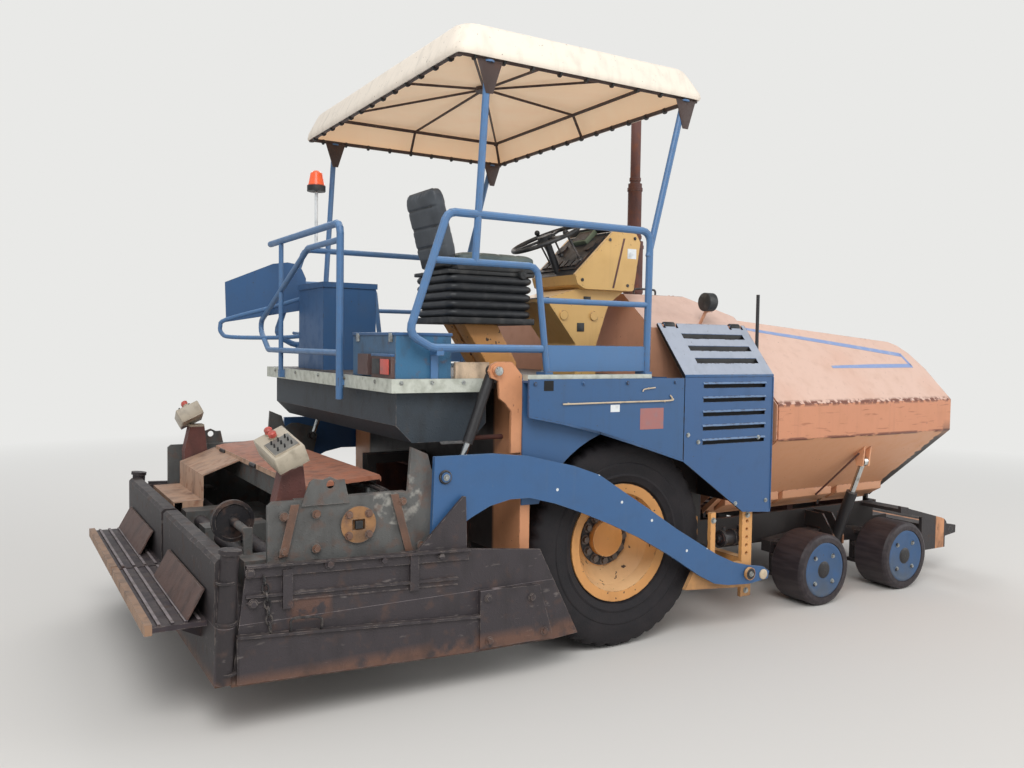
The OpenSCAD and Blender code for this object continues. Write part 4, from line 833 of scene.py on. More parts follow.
def chain_tree():
    """Oval links along a path, each a quarter turn from the last."""
    tree = new_tree("chain_links", [("Link length", "NodeSocketFloat"), ("Wire radius", "NodeSocketFloat"),
                                    ("Finish", "NodeSocketMaterial")])
    given = add(tree, "NodeGroupInput").outputs
    pitch = add(tree, "ShaderNodeMath", {"operation": "MULTIPLY"},
                {0: given["Link length"], 1: 0.74}).outputs[0]
    half = add(tree, "ShaderNodeMath", {"operation": "MULTIPLY"},
               {0: given["Link length"], 1: 0.5}).outputs[0]
    ring = add(tree, "GeometryNodeCurvePrimitiveCircle", None, {"Resolution": 10, "Radius": half})
    oval = add(tree, "GeometryNodeTransform", None,
               {"Geometry": ring.outputs[0], "Scale": (1.0, 0.62, 1.0)})
    wire = add(tree, "GeometryNodeCurvePrimitiveCircle", None,
               {"Resolution": 6, "Radius": given["Wire radius"]})
    link = add(tree, "GeometryNodeCurveToMesh", None,
               {"Curve": oval.outputs[0], "Profile Curve": wire.outputs[0]})
    path = add(tree, "GeometryNodeMeshToCurve", None, {"Mesh": given["Geometry"]})
    even = add(tree, "GeometryNodeResampleCurve", {"mode": "LENGTH"},
               {"Curve": path.outputs[0], "Length": pitch})
    tangent = add(tree, "GeometryNodeInputTangent")
    facing = add(tree, "FunctionNodeAlignRotationToVector", {"axis": "X"}, {"Vector": tangent.outputs[0]})
    number = add(tree, "GeometryNodeInputIndex")
    odd = add(tree, "ShaderNodeMath", {"operation": "MODULO"}, {0: number.outputs[0], 1: 2.0})
    quarter = add(tree, "ShaderNodeMath", {"operation": "MULTIPLY"}, {0: odd.outputs[0], 1: math.pi / 2})
    roll = add(tree, "ShaderNodeCombineXYZ", None, {"X": quarter.outputs[0]})
    set_out = add(tree, "GeometryNodeInstanceOnPoints", None,
                  {"Points": even.outputs[0], "Instance": link.outputs[0], "Rotation": facing.outputs[0]})
    rolled = add(tree, "GeometryNodeRotateInstances", None,
                 {"Instances": set_out.outputs[0], "Rotation": roll.outputs[0]})
    real = add(tree, "GeometryNodeRealizeInstances", None, {0: rolled.outputs[0]})
    painted = add(tree, "GeometryNodeSetMaterial", None,
                  {"Geometry": real.outputs[0], "Material": given["Finish"]})
    add(tree, "NodeGroupOutput", None, {"Geometry": painted.outputs[0]})
    return tree


def grown(name, mesh, tree, settings, body):
    """The plain mesh that a node tree makes from these points or edges, on a body."""
    source = bpy.data.objects.new(name, mesh)
    scene.collection.objects.link(source)
    modifier = source.modifiers.new("tree", "NODES")
    modifier.node_group = tree
    for socket in tree.interface.items_tree:
        if socket.in_out == "INPUT" and socket.name in settings:
            modifier[socket.identifier] = settings[socket.name]
    shaped = bpy.data.meshes.new_from_object(source.evaluated_get(bpy.context.evaluated_depsgraph_get()))
    source.modifiers.remove(modifier)
    source.data = shaped
    shaped.shade_smooth()
    shaped.set_sharp_from_angle(angle=math.radians(SHARP))
    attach(source, body)
    return source


BOLTS = bolt_tree()
CHAIN = chain_tree()


def bolts(name, body, rows, across=0.024, material=zinc_plate):
    """Bolts at rows of (point, axis) on one body."""
    mesh = bpy.data.meshes.new(name)
    mesh.from_pydata([p for p, _ in rows], [], [])
    axis = mesh.attributes.new("axis", "FLOAT_VECTOR", "POINT")
    for i, (_, direction) in enumerate(rows):
        axis.data[i].vector = direction
    sizes = {"Across flats": across, "Head height": across * 0.6, "Washer diameter": across * 1.7}
    return grown(name, mesh, BOLTS, {**sizes, "Finish": material}, body)


def heads_on(y, spots):
    """Bolts that stand out of a right-hand face at spots of (x, z)."""
    return [((x, y, z), (0, -1, 0)) for x, z in spots]


def side_bolts(side, name, body, rows, across=0.024, material=zinc_plate):
    """Bolts of one side of the machine, from rows drawn for the right."""
    rows = [((p[0], -side * p[1], p[2]), (a[0], -side * a[1], a[2])) for p, a in rows]
    return bolts(f"{name}_{SIDES[side]}", body, rows, across, material)


def chain(name, body, path, link, wire):
    """A chain along a path on one body."""
    mesh = bpy.data.meshes.new(name)
    mesh.from_pydata([tuple(p) for p in path], [(i, i + 1) for i in range(len(path) - 1)], [])
    return grown(name, mesh, CHAIN, {"Link length": link, "Wire radius": wire, "Finish": black_steel},
                 body)


# Canopy

CANOPY_X = -0.785
CANOPY_HALF = (0.82, 1.2)
HEM_Z = 3.215
RING_Z = 3.385
PEAK_Z = 3.449
ROOF_IN = 0.095
CORNER_R = 0.09
CROWN_HALF = 0.03
SIDE_POINTS = 44
SAG = 16
TIE_Z = 3.206


def canopy_ring(half_x, half_y, radius):
    """Points round a rectangle with rounded corners, each with how far it lies from a rib."""
    ring = []
    for side in range(4):
        for i in range(SIDE_POINTS):
            t = i / SIDE_POINTS
            a, b = (half_x, half_y) if side % 2 == 0 else (half_y, half_x)
            u = (2 * t - 1) * (a - radius + radius * math.sqrt(0.5))
            v = -b
            over = abs(u) - (a - radius)
            if over > 0:
                v = -(b - radius) - math.sqrt(max(radius**2 - over**2, 0))
            turn = side * math.pi / 2
            ring.append((u * math.cos(turn) - v * math.sin(turn), u * math.sin(turn) + v * math.cos(turn),
                         math.sin(math.pi * ((2 * t) % 1)) ** 2))
    return ring


def canopy_cloth():
    """One sheet stretched over the hoops: a steep skirt, a rounded shoulder and a low roof that sags
    between its ribs. A ring is (inset, height, corner radius, sag in mm)."""
    hx, hy = CANOPY_HALF
    roof_z = RING_Z + 0.003
    rings = [(0.030, HEM_Z - 0.004, 0.03, 0), (0.010, HEM_Z - 0.010, 0.03, 0),
             (0.002, HEM_Z + 0.004, 0.04, 0), (0.004, HEM_Z + 0.03, 0.05, 1),
             (0.022, HEM_Z + 0.07, 0.06, 4), (0.044, HEM_Z + 0.12, 0.07, 5),
             (0.060, RING_Z - 0.016, 0.08, 3), (0.072, RING_Z - 0.003, CORNER_R, 1),
             (ROOF_IN, roof_z, CORNER_R, 1)]
    roof_steps = 14
    for i in range(1, roof_steps + 1):
        t = i / roof_steps
        rings.append((ROOF_IN + t * (min(hx, hy) - ROOF_IN - CROWN_HALF), roof_z + t * (PEAK_Z - roof_z),
                      CORNER_R * (1 - t) + 0.004, SAG * math.sin(math.pi * t) ** 0.8))
    points = []
    for inset, z, radius, sag in rings:
        t = max(inset - ROOF_IN, 0) / (min(hx, hy) - ROOF_IN - CROWN_HALF)
        on_roof = inset > ROOF_IN
        side_x, side_y = ((h - ROOF_IN) * (1 - t) + CROWN_HALF * t if on_roof else h - inset
                          for h in CANOPY_HALF)
        for x, y, away in canopy_ring(side_x, side_y, min(radius, side_x * 0.9, side_y * 0.9)):
            wrinkle = 0.0015 * math.sin(x * 31 + y * 17) * math.sin(y * 23) if inset > 0.09 else 0
            points.append((CANOPY_X + x, y, z - away * sag / 1000 + wrinkle))
    count = 4 * SIDE_POINTS
    crown = list(range((len(rings) - 1) * count, len(rings) * count))
    mesh = bpy.data.meshes.new("canopy_cloth")
    mesh.from_pydata(points, [], bands(len(rings), count) + [crown])
    cloth = place("canopy_cloth", mesh, cloth_out, "tractor", "canopy_cloth", sharp=60, inner=cloth_in)
    bpy.context.view_layer.objects.active = cloth
    thick = cloth.modifiers.new("thickness", "SOLIDIFY")
    thick.thickness = 0.003
    thick.offset = -1
    thick.material_offset = 1
    thick.material_offset_rim = 0
    with bpy.context.temp_override(object=cloth, active_object=cloth):
        bpy.ops.object.modifier_apply(modifier="thickness")
    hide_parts("canopy_cover")


def canopy_ties():
    """Clips that lace the hem to its tube, and the gusset plates at the posts."""
    hx, hy = CANOPY_HALF[0] - 0.034, CANOPY_HALF[1] - 0.046
    clips = []
    for axis, count, run, across in (("y", 13, hy, hx), ("x", 9, hx, hy)):
        for i in range(count):
            middle = -run + (i + 0.5) * 2 * run / count + (CANOPY_X if axis == "x" else 0)
            for edge in (-across, across):
                at = (CANOPY_X + edge, TIE_Z) if axis == "y" else (edge, TIE_Z)
                clips.append(disc(at, axis, 0.019, middle - 0.006, middle + 0.006, 10))
    piece("canopy_ties", clips, black_plastic, "tractor", "black_plastic")
    plates = []
    for side in SIDES:
        y = side * (CANOPY_HALF[1] - 0.052)
        for x in (-1.40, -0.08):
            outline = [(x - 0.075, 3.198), (x + 0.075, 3.198), (x + 0.02, 3.03), (x - 0.02, 3.03)]
            plates.append(prism(outline, "y", y - 0.024, y - 0.019))
    piece("canopy_gussets", plates, canopy_steel, "tractor", "brown_paint", 0.001)


canopy_cloth()
canopy_ties()


# Wheels

DRIVE = (-0.47, 0.968, 0.61)
RIM_FACE = -0.9675
NOTCHES = 40
SHOULDER_R = 0.575
FRONT_X = (1.272, 2.146)
FRONT_FACE = -1.16
FRONT_R = 0.245


def drive_tyre(side):
    """Worn wide-base tyre: three grooves, notched shoulders, and moulded rings on its sidewalls."""
    half = [(0.3073, 0.0), (0.3073, 0.140), (0.348, 0.1515), (0.358, 0.171), (0.385, 0.182),
            (0.392, 0.187), (0.398, 0.187), (0.405, 0.184), (0.452, 0.193), (0.458, 0.1955),
            (0.466, 0.1955), (0.472, 0.192), (0.5, 0.197), (0.552, 0.1915), (0.572, 0.185),
            (0.585, 0.178), (0.598, 0.1635), (0.606, 0.148), (0.6095, 0.1355), (0.61, 0.120),
            (0.61, 0.079), (0.5975, 0.074), (0.5975, 0.066), (0.61, 0.061), (0.61, 0.009),
            (0.5975, 0.005)]
    profile = half + [(r, -w) for r, w in reversed(half) if w > 0]

    def notched(angle, r, w):
        step = (angle * NOTCHES / (2 * math.pi)) % 1
        cut = r > SHOULDER_R and abs(w) > 0.118 and step < 0.24
        return r - 0.013 * min(1, (r - SHOULDER_R) / 0.02) if cut else r

    x, y, z = DRIVE
    tread = turned(profile, (x, side * y, z), "y", 200, notched)
    tyre = piece(f"drive_tyre_{SIDES[side]}_tread", [tread], rubber, f"drive_wheel_{SIDES[side]}",
                 "tyre_rubber", sharp=28)
    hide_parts(f"drive_tyre_{SIDES[side]}")


def drive_hub(side):
    """Oily bolt circle round the orange hub cap, and the tyre's valve."""
    x, _, z = DRIVE
    centre = (x, RIM_FACE, z)
    body = f"drive_wheel_{SIDES[side]}"
    ring = turned([(0.1085, -0.0005), (0.1085, -0.006), (0.165, -0.006), (0.1665, -0.0005)], centre, "y")
    fitted(side, "hub_ring", [ring], black_steel, body, "dark_steel")
    cap = turned([(0.004, -0.046), (0.098, -0.0462), (0.106, -0.043), (0.1087, -0.037), (0.1087, -0.004),
                  (0.004, -0.004)], centre, "y")
    fitted(side, "hub_cap", [cap], cap_enamel, body, "orange_paint")
    nuts = heads_on(RIM_FACE - 0.006, [(x + u, z + v) for u, v in circle(12, 0.137)])
    side_bolts(side, "hub_nuts", body, nuts, 0.034, worn_auger)
    valve = tube([(x + 0.26, RIM_FACE - 0.02, z - 0.1), (x + 0.27, RIM_FACE - 0.075, z - 0.105)], 0.006, 8)
    fitted(side, "tyre_valve", [valve], black_plastic, body, "black_plastic")


def front_disc(side, number):
    """Blue pressed disc with four bolts and a greased hub in each solid wheel."""
    x = FRONT_X[number - 1]
    centre = (x, FRONT_FACE, FRONT_R)
    body = f"front_wheel_body_{number}_{SIDES[side]}"
    dish = turned([(0.046, 0.022), (0.046, 0.012), (0.060, 0.0115), (0.148, 0.0115), (0.166, 0.006),
                   (0.178, 0.0035), (0.1865, 0.006), (0.1865, 0.022)], centre, "y")
    fitted(side, f"front_disc_{number}", [dish], blue_enamel, body, "blue_paint")
    hub = turned([(0.003, 0.002), (0.040, 0.0025), (0.052, 0.006), (0.058, 0.0112), (0.058, 0.02),
                  (0.003, 0.02)], centre, "y", 32)
    fitted(side, f"front_hub_{number}", [hub], black_steel, body, "dark_steel")
    heads = heads_on(FRONT_FACE + 0.0115, [(x + u, FRONT_R + v) for u, v in circle(4, 0.122, 45)])
    side_bolts(side, f"front_bolts_{number}", body, heads, 0.019)


for side in SIDES:
    drive_tyre(side)
    drive_hub(side)
    for number in (1, 2):
        front_disc(side, number)


# Hopper wings


WING_Y = 1.25
FOLD_Z = 1.393
TAPE_LIFTS = (0.0006, 0.0018)


def on_wing(x, z, out):
    """A point on a right wing's upper panel, which leans in at 45 degrees, out metres proud of it."""
    rise = out * math.sqrt(0.5)
    return x, z - FOLD_Z - WING_Y - rise, z + rise


def wing_tape(knots):
    """Flat tape on a wing's upper panel along knots of (x, z, width)."""
    low, high = TAPE_LIFTS
    rings = []
    for before, (x, z, width), after in zip([knots[0], *knots], knots, [*knots[1:], knots[-1]]):
        ahead = Vector(after[:2]) - Vector(before[:2])
        off = Vector((-ahead.y, ahead.x)).normalized() * width / 2
        corners = ((off, low), (-off, low), (-off, high), (off, high))
        rings.append([on_wing(x + edge.x, z + edge.y, lift) for edge, lift in corners])
    return stacked(rings)


def wing_trim(side):
    """Hairpin stripe, stay and hinge lip of a wing, and the fixed wall between it and the hood."""
    body = f"wing_body_{SIDES[side]}"
    stripe = [wing_tape([(0.80, 1.885, 0.016), (1.35, 1.826, 0.024), (1.9, 1.763, 0.026),
                         (2.322, 1.712, 0.028)]),
              wing_tape([(2.326, 1.722, 0.026), (2.343, 1.631, 0.026)]),
              wing_tape([(2.352, 1.633, 0.026), (1.9, 1.630, 0.025), (1.453, 1.625, 0.016)])]
    fitted(side, "wing_stripe", stripe, stripe_blue, body, "blue_paint")
    section = [(-0.640, 0.638), (-0.643, 0.610), (-0.745, 0.668), (-0.745, 0.727)]
    lip = [prism(section, "x", x, x + 0.52) for x in (0.735, 1.30, 1.88)]
    fitted(side, "wing_lip", lip, wing_enamel, body, "orange_paint", 0.003)
    stay = tube([(1.64, -1.118, 1.02), (1.65, -0.745, 0.672)], 0.007, 8)
    fitted(side, "wing_stay", [stay], primer_steel, body, "brown_paint")
    outline = [(-0.545, 0.625), (-1.246, 1.174), (-1.246, 1.389), (-0.975, 1.66), (-0.975, 1.30),
               (-0.545, 1.30)]
    wall = [prism(outline, "x", 0.669, 0.676), box((0.640, -0.985, 1.31), (0.676, -0.975, 1.62))]
    fitted(side, "hopper_wall", wall, orange_enamel, "tractor", "orange_paint")


for side in SIDES:
    wing_trim(side)


# Bodywork


def set_at(parts, matrix):
    """The parts carried to their place by a matrix."""
    return [([tuple(matrix @ Vector(p)) for p in points], faces) for points, faces in parts]


SLOTS_Z = [1.508 - i * 0.084 for i in range(5)]
SLOT_X = (0.022, 0.534)
HINGE = (-1.004, 1.88)
FRONT_PIN = (0.426, 0.354)
REAR_PIN = (-1.679, 1.09)
POST_FACE = -1.2325


def door_trim(side):
    """Pressed hoods, a near-black sheet behind a door's slots as painted shade, its fasteners and its rubber
    hinge sleeves.
    """
    body = f"door_body_{SIDES[side]}"
    # Painted shade: a near-black sheet behind the slots stands in for the shade inside the door.
    shade_sheet = [box((-0.02, -1.2525, 1.13), (0.57, -1.2485, 1.552)),
              prism([(-1.2469, 1.5695), (-1.0110, 1.8610), (-1.0087, 1.8591), (-1.2446, 1.5676)], "x",
                    -0.02, 0.57)]
    fitted(side, "door_shade_sheet", shade_sheet, painted_shade_black, body, "dark_steel")
    hoods = [prism([(FACE + 0.0005, z + 0.036), (FACE - 0.0075, z + 0.024), (FACE - 0.0065, z + 0.023),
                    (FACE + 0.0005, z + 0.029)], "x", SLOT_X[0] - 0.006, SLOT_X[1] + 0.006)
             for z in SLOTS_Z]
    fitted(side, "door_hoods", hoods, blue_enamel, body, "blue_paint")
    fold = [prism([(FACE + 0.0005, 1.571), (FACE - 0.0035, 1.574), (FACE - 0.0035, 1.588),
                   (FACE + 0.003, 1.590)], "x", -0.122, 0.602),
            box((0.596, FACE - 0.0045, 0.745), (0.604, FACE + 0.0005, 1.57))]
    fitted(side, "door_fold", fold, blue_enamel, body, "blue_paint", 0.001)
    rows = heads_on(FACE - 0.0005, ((-0.094, 1.235), (-0.014, 1.19), (0.481, 1.199), (0.30, 0.80),
                                    (0.56, 0.80)))
    side_bolts(side, "door_bolts", body, rows, 0.016)
    sleeves = [disc(HINGE, "x", 0.0225, x, x + 0.076, 20) for x in (-0.072, 0.476)]
    fitted(side, "door_sleeves", sleeves, black_plastic, body, "black_plastic", 0.003)


def fender_trim(side):
    """Hooked rods clipped along a fender, blank plates, and the folded edge over the wheel."""
    rods = [tube(curve_through([(-0.986, FACE - 0.006, 1.436), (-0.60, FACE - 0.006, 1.439),
                                (-0.25, FACE - 0.006, 1.441), (-0.228, FACE - 0.006, 1.455),
                                (-0.241, FACE - 0.006, 1.471)], 4), 0.0045, 8),
            tube(curve_through([(-0.444, FACE - 0.006, 1.496), (-0.430, FACE - 0.006, 1.509),
                                (-0.353, FACE - 0.006, 1.517)], 4), 0.0035, 8)]
    rods += [tube([(x, FACE + 0.001, 1.438), (x, FACE - 0.007, 1.438)], 0.006, 8)
             for x in (-0.95, -0.60, -0.28)]
    rods.append(tube([(-0.40, FACE + 0.001, 1.513), (-0.40, FACE - 0.007, 1.513)], 0.005, 8))
    fitted(side, "fender_rods", rods, tan_paint, "tractor", "step_alloy")
    # Painted shade: a flat near-black patch stands in for the shade in a recess of the fender.
    recess = [box((-1.105, FACE - 0.0012, 1.508), (-1.045, FACE + 0.0002, 1.562))]
    fitted(side, "fender_recess", recess, painted_shade_black, "tractor", "dark_steel")
    knots = [(-1.197, 1.369), (-0.98, 1.326), (-0.734, 1.267), (-0.42, 1.172), (-0.13, 1.08)]
    rim = [prism([(a[0], a[1]), (b[0], b[1]), (b[0], b[1] + 0.012), (a[0], a[1] + 0.012)], "y",
                 FACE - 0.0035, FACE + 0.0005) for a, b in zip(knots, knots[1:])]
    fitted(side, "fender_rim", rim, blue_enamel, "tractor", "blue_paint")
    if side < 0:
        piece("blank_plate", [box((-0.665, FACE - 0.0012, 1.385), (-0.602, FACE + 0.0002, 1.425))],
              white_paint, "tractor", "blue_paint")
        piece("blank_red_plate", [box((-0.455, FACE - 0.0012, 1.280), (-0.285, FACE + 0.0002, 1.400))],
              faded_red, "tractor", "blue_paint")
    rows = heads_on(FACE - 0.0005, [(x, 1.545) for x in (-1.16, -0.85, -0.55, -0.2)])
    side_bolts(side, "fender_bolts", "tractor", rows, 0.014, blue_enamel)


LAMP = (0.29, -1.004, 2.034)
ARM_CAP = (0.556, 0.332)


def hood_trim(side):
    """Work lamp in its black shell, seams, fasteners and grip of the hood."""
    shell = turned([(0.0545, -0.034), (0.0585, -0.031), (0.0585, 0.030), (0.052, 0.036), (0.046, 0.034),
                    (0.046, 0.020), (0.0545, 0.012)], LAMP, "x", 32)
    back = turned([(0.002, -0.044), (0.030, -0.042), (0.050, -0.0345), (0.0545, -0.0335), (0.002, -0.032)],
                  LAMP, "x", 32)
    fitted(side, "lamp_shell", [shell, back], black_plastic, "tractor", "black_plastic")
    glass = disc(LAMP[1:], "x", 0.046, LAMP[0] + 0.0325, LAMP[0] + 0.0345, 28)
    fitted(side, "lamp_glass", [glass], white_paint, "tractor", "amber_lamp")
    seams = [box((0.346, -0.70, 2.0795), (0.349, -0.10, 2.0828)),
             box((-0.151, -0.70, 2.0795), (0.352, -0.697, 2.0828))]
    fitted(side, "hood_seams", seams, black_steel, "tractor", "dark_steel")
    rows = [((0.30 + 0.035 * k, y, 2.0825), (0, 0, 1)) for k in (0, 1) for y in (-0.62, -0.38)]
    side_bolts(side, "hood_bolts", "tractor", rows, 0.014, orange_enamel)
    grip = tube(curve_through([(0.05, -0.56, 2.08), (0.05, -0.56, 2.118), (0.08, -0.56, 2.128),
                               (0.20, -0.56, 2.128), (0.23, -0.56, 2.118), (0.23, -0.56, 2.08)], 5),
                0.007, 8)
    fitted(side, "hood_grip", [grip], black_steel, "tractor", "dark_steel")


def arm_trim(side):
    """Collars and bolts on a tow arm's pins, and the tan cap before them."""
    front = turned([(0.014, -0.0265), (0.033, -0.0265), (0.037, -0.022), (0.037, -0.0005), (0.014, -0.0005)],
                   (FRONT_PIN[0], FACE, FRONT_PIN[1]), "y", 32)
    rear = turned([(0.012, -0.0095), (0.032, -0.0095), (0.036, -0.0005), (0.012, -0.0005)],
                  (REAR_PIN[0], FACE, REAR_PIN[1]), "y", 28)
    fitted(side, "arm_collars", [front, rear], black_steel, "screed", "dark_steel")
    cap = turned([(0.002, -0.012), (0.026, -0.011), (0.032, -0.007), (0.032, -0.0005), (0.002, -0.0005)],
                 (ARM_CAP[0], FACE, ARM_CAP[1]), "y", 24)
    fitted(side, "arm_cap", [cap], tan_paint, "screed", "dark_steel")
    rows = heads_on(FACE - 0.0265, [FRONT_PIN]) + heads_on(FACE - 0.014, [REAR_PIN])
    side_bolts(side, "arm_bolts", "screed", rows, 0.02)


def post_trim(side):
    """Bolts of the tow post, and bands and unions of the pump beside it."""
    rows = heads_on(POST_FACE, ((0.446, 0.235), (0.446, 0.71), (0.16, 0.45), (0.16, 0.70)))
    side_bolts(side, "post_bolts", "tractor", rows, 0.022)
    unions = [disc((-1.15, 0.56), "x", 0.052, x, x + 0.016, 24) for x in (0.30, 0.39, 0.49)]
    unions += [tube([(x, -1.15, 0.60), (x, -1.15, 0.63)], 0.014, 10) for x in (0.33, 0.46)]
    fitted(side, "pump_bands", unions, black_steel, "tractor", "dark_steel", 0.001)


for side in SIDES:
    door_trim(side)
    fender_trim(side)
    hood_trim(side)
    arm_trim(side)
    post_trim(side)


# Operator's place

SEAT_Y = -0.6
LIFT_TOP = (-1.351, 1.612)
PAD_SPREAD = 7
SEAM_HALF = 0.007
SEAM_DEPTH = 0.009
SWELL_CAP = 0.009
SWELL_FRAMES = 20
PLEATS = 5
PLEAT_PITCH = 0.0478
BOOT_FOOT_Z = 1.898


def stuffed(pad, floor):
    """Swells a closed pad with the cloth solver; no point moves past the cap or sinks under its floor."""
    bpy.context.view_layer.objects.active = pad
    pad.data.remesh_voxel_size = 0.006
    with bpy.context.temp_override(object=pad, active_object=pad):
        bpy.ops.object.voxel_remesh()
    before = [v.co.copy() for v in pad.data.vertices]
    cloth = pad.modifiers.new("swell", "CLOTH")
    cloth.settings.use_pressure = True
    cloth.settings.uniform_pressure_force = 4
    cloth.settings.effector_weights.gravity = 0
    for number in range(1, SWELL_FRAMES + 1):
        scene.frame_set(number)
    after = [v.co.copy() for v in pad.evaluated_get(bpy.context.evaluated_depsgraph_get()).data.vertices]
    pad.modifiers.remove(cloth)
    scene.frame_set(1)
    for vertex, was, now in zip(pad.data.vertices, before, after):
        step = now - was
        if step.length > SWELL_CAP:
            step *= SWELL_CAP / step.length
        vertex.co = was + step
        vertex.co.z = max(vertex.co.z, floor)


def pad_mesh(name, half, waist):
    """A soft block: rounded like a pillow, its sides pulled in between the corners."""
    work = bmesh.new()
    bmesh.ops.create_cube(work, size=2)
    bmesh.ops.subdivide_edges(work, edges=work.edges, cuts=13, use_grid_fill=True)
    for vertex in work.verts:
        p = vertex.co
        p = p / sum(abs(c) ** PAD_SPREAD for c in p) ** (1 / PAD_SPREAD)
        crown = waist * (1 - min(1, abs(p.x)) ** 2) * (1 - min(1, abs(p.y)) ** 2)
        vertex.co = (p.x * half[0] * (1 - waist * (1 - p.y**2) * 0.5),
                     p.y * half[1] * (1 - waist * (1 - p.x**2) * 0.5), p.z * half[2] * (0.82 + crown * 2))
    mesh = bpy.data.meshes.new(name)
    work.to_mesh(mesh)
    work.free()
    return mesh


def seat_pad(name, centre, half, lean, channels, material):
    """A sewn vinyl pad of the seat; channels are the seams across it, as shares of its half length."""
    mesh = pad_mesh(name, half, 0.06)
    pad = bpy.data.objects.new(name, mesh)
    scene.collection.objects.link(pad)
    stuffed(pad, -half[2])
    for vertex in pad.data.vertices:
        for share in channels:
            across = (vertex.co.x - share * half[0]) / SEAM_HALF
            edge = 1 - min(1, abs(vertex.co.y) / half[1]) ** 6
            if vertex.co.z > 0:
                vertex.co.z -= SEAM_DEPTH * math.exp(-across * across) * edge
    pad.data.transform(Matrix.Translation(centre) @ Matrix.Rotation(lean, 4, "Y"))
    smoother = pad.modifiers.new("round", "SUBSURF")
    smoother.levels = 1
    with bpy.context.temp_override(object=pad, active_object=pad):
        bpy.ops.object.modifier_apply(modifier="round")
    mesh = pad.data
    bpy.data.objects.remove(pad)
    made = place(name, mesh, material, "tractor", "seat_vinyl", 60)
    return made


def rounded_ring(centre, reach, radius, z):
    """Points round a rectangle with rounded corners at one height."""
    ring = []
    for quarter in range(4):
        sign_x, sign_y = ((1, 1), (-1, 1), (-1, -1), (1, -1))[quarter]
        for i in range(6):
            a = math.pi / 2 * (quarter + i / 5)
            ring.append((centre[0] + sign_x * (reach[0] - radius) + radius * math.cos(a),
                         centre[1] + sign_y * (reach[1] - radius) + radius * math.sin(a), z))
    return ring


def seat():
    """Two vinyl pads on a moulded pan, over a pleated rubber boot and a bent yellow carrier."""
    cushion = seat_pad("seat_cushion", (-1.105, SEAT_Y, 2.222), (0.262, 0.203, 0.043), 0.0,
                       (-0.42, 0.05, 0.5), seat_vinyl)
    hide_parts("seat")
    seat_pad("seat_back", (-1.452, SEAT_Y, 2.405), (0.215, 0.195, 0.042), math.radians(-105),
             (-0.5, 0.0, 0.5), back_vinyl)
    pan = [prism([(-1.385, 2.160), (-0.845, 2.160), (-0.835, 2.178), (-0.845, 2.186), (-1.39, 2.186)],
                 "y", SEAT_Y - 0.213, SEAT_Y + 0.213),
           prism([(-1.435, 2.182), (-1.40, 2.172), (-1.385, 2.19), (-1.502, 2.60), (-1.520, 2.60),
                  (-1.532, 2.55)], "y", SEAT_Y - 0.15, SEAT_Y + 0.15)]
    piece("seat_pan", pan, black_plastic, "tractor", "black_plastic", 0.006)
    boot_at = (-1.17, SEAT_Y)
    rings = []
    for i in range(PLEATS):
        foot = BOOT_FOOT_Z + i * PLEAT_PITCH
        for share, reach in ((0.0, 0.252), (0.10, 0.264), (0.25, 0.2715), (0.5, 0.275), (0.75, 0.2715),
                             (0.90, 0.264)):
            half_x = reach + 0.005 * i / PLEATS
            rings.append(rounded_ring(boot_at, (half_x, half_x - 0.048), 0.06, foot + share * PLEAT_PITCH))
    rings.append(rounded_ring(boot_at, (0.257, 0.209), 0.06, BOOT_FOOT_Z + PLEATS * PLEAT_PITCH))
    boot = piece("seat_boot", [stacked(rings)], bellows_rubber, "tractor", "black_plastic", sharp=75)
    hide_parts("seat_base")
    plates = [box((-1.45, SEAT_Y - 0.23, 1.863), (-0.89, SEAT_Y + 0.23, 1.899)),
              box((-1.45, SEAT_Y - 0.225, 2.1365), (-0.89, SEAT_Y + 0.225, 2.1588))]
    piece("seat_plates", plates, black_plastic, "tractor", "black_plastic", 0.006)
    cheek = [(-1.302, 1.863), (-1.082, 1.863), (-0.950, 1.645), (-0.950, 1.572), (-1.130, 1.572),
             (-1.130, 1.612)]
    carrier = [prism(cheek, "y", SEAT_Y + low, SEAT_Y + high)
               for low, high in ((-0.130, -0.012), (0.012, 0.130))]
    carrier.append(box((-1.125, SEAT_Y - 0.02, 1.572), (-0.955, SEAT_Y + 0.02, 1.64)))
    piece("seat_carrier", carrier, yellow_enamel, "tractor", "black_plastic", 0.004)
    knob = [turned([(0.002, SEAT_Y - 0.252), (0.022, SEAT_Y - 0.250), (0.026, SEAT_Y - 0.243),
                    (0.026, SEAT_Y - 0.222), (0.002, SEAT_Y - 0.222)], (-0.98, 0, 2.147), "y", 20)]
    piece("seat_knob", knob, black_plastic, "tractor", "black_plastic")


def on_panel(low, high, foot, rise):
    """Outline in X and Z of a block on the console's sloping panel."""
    corners = [(low, foot), (high, foot), (high, rise), (low, rise)]
    return [tuple(PANEL_FOOT + PANEL_RUN * a + PANEL_OUT * h) for a, h in corners]


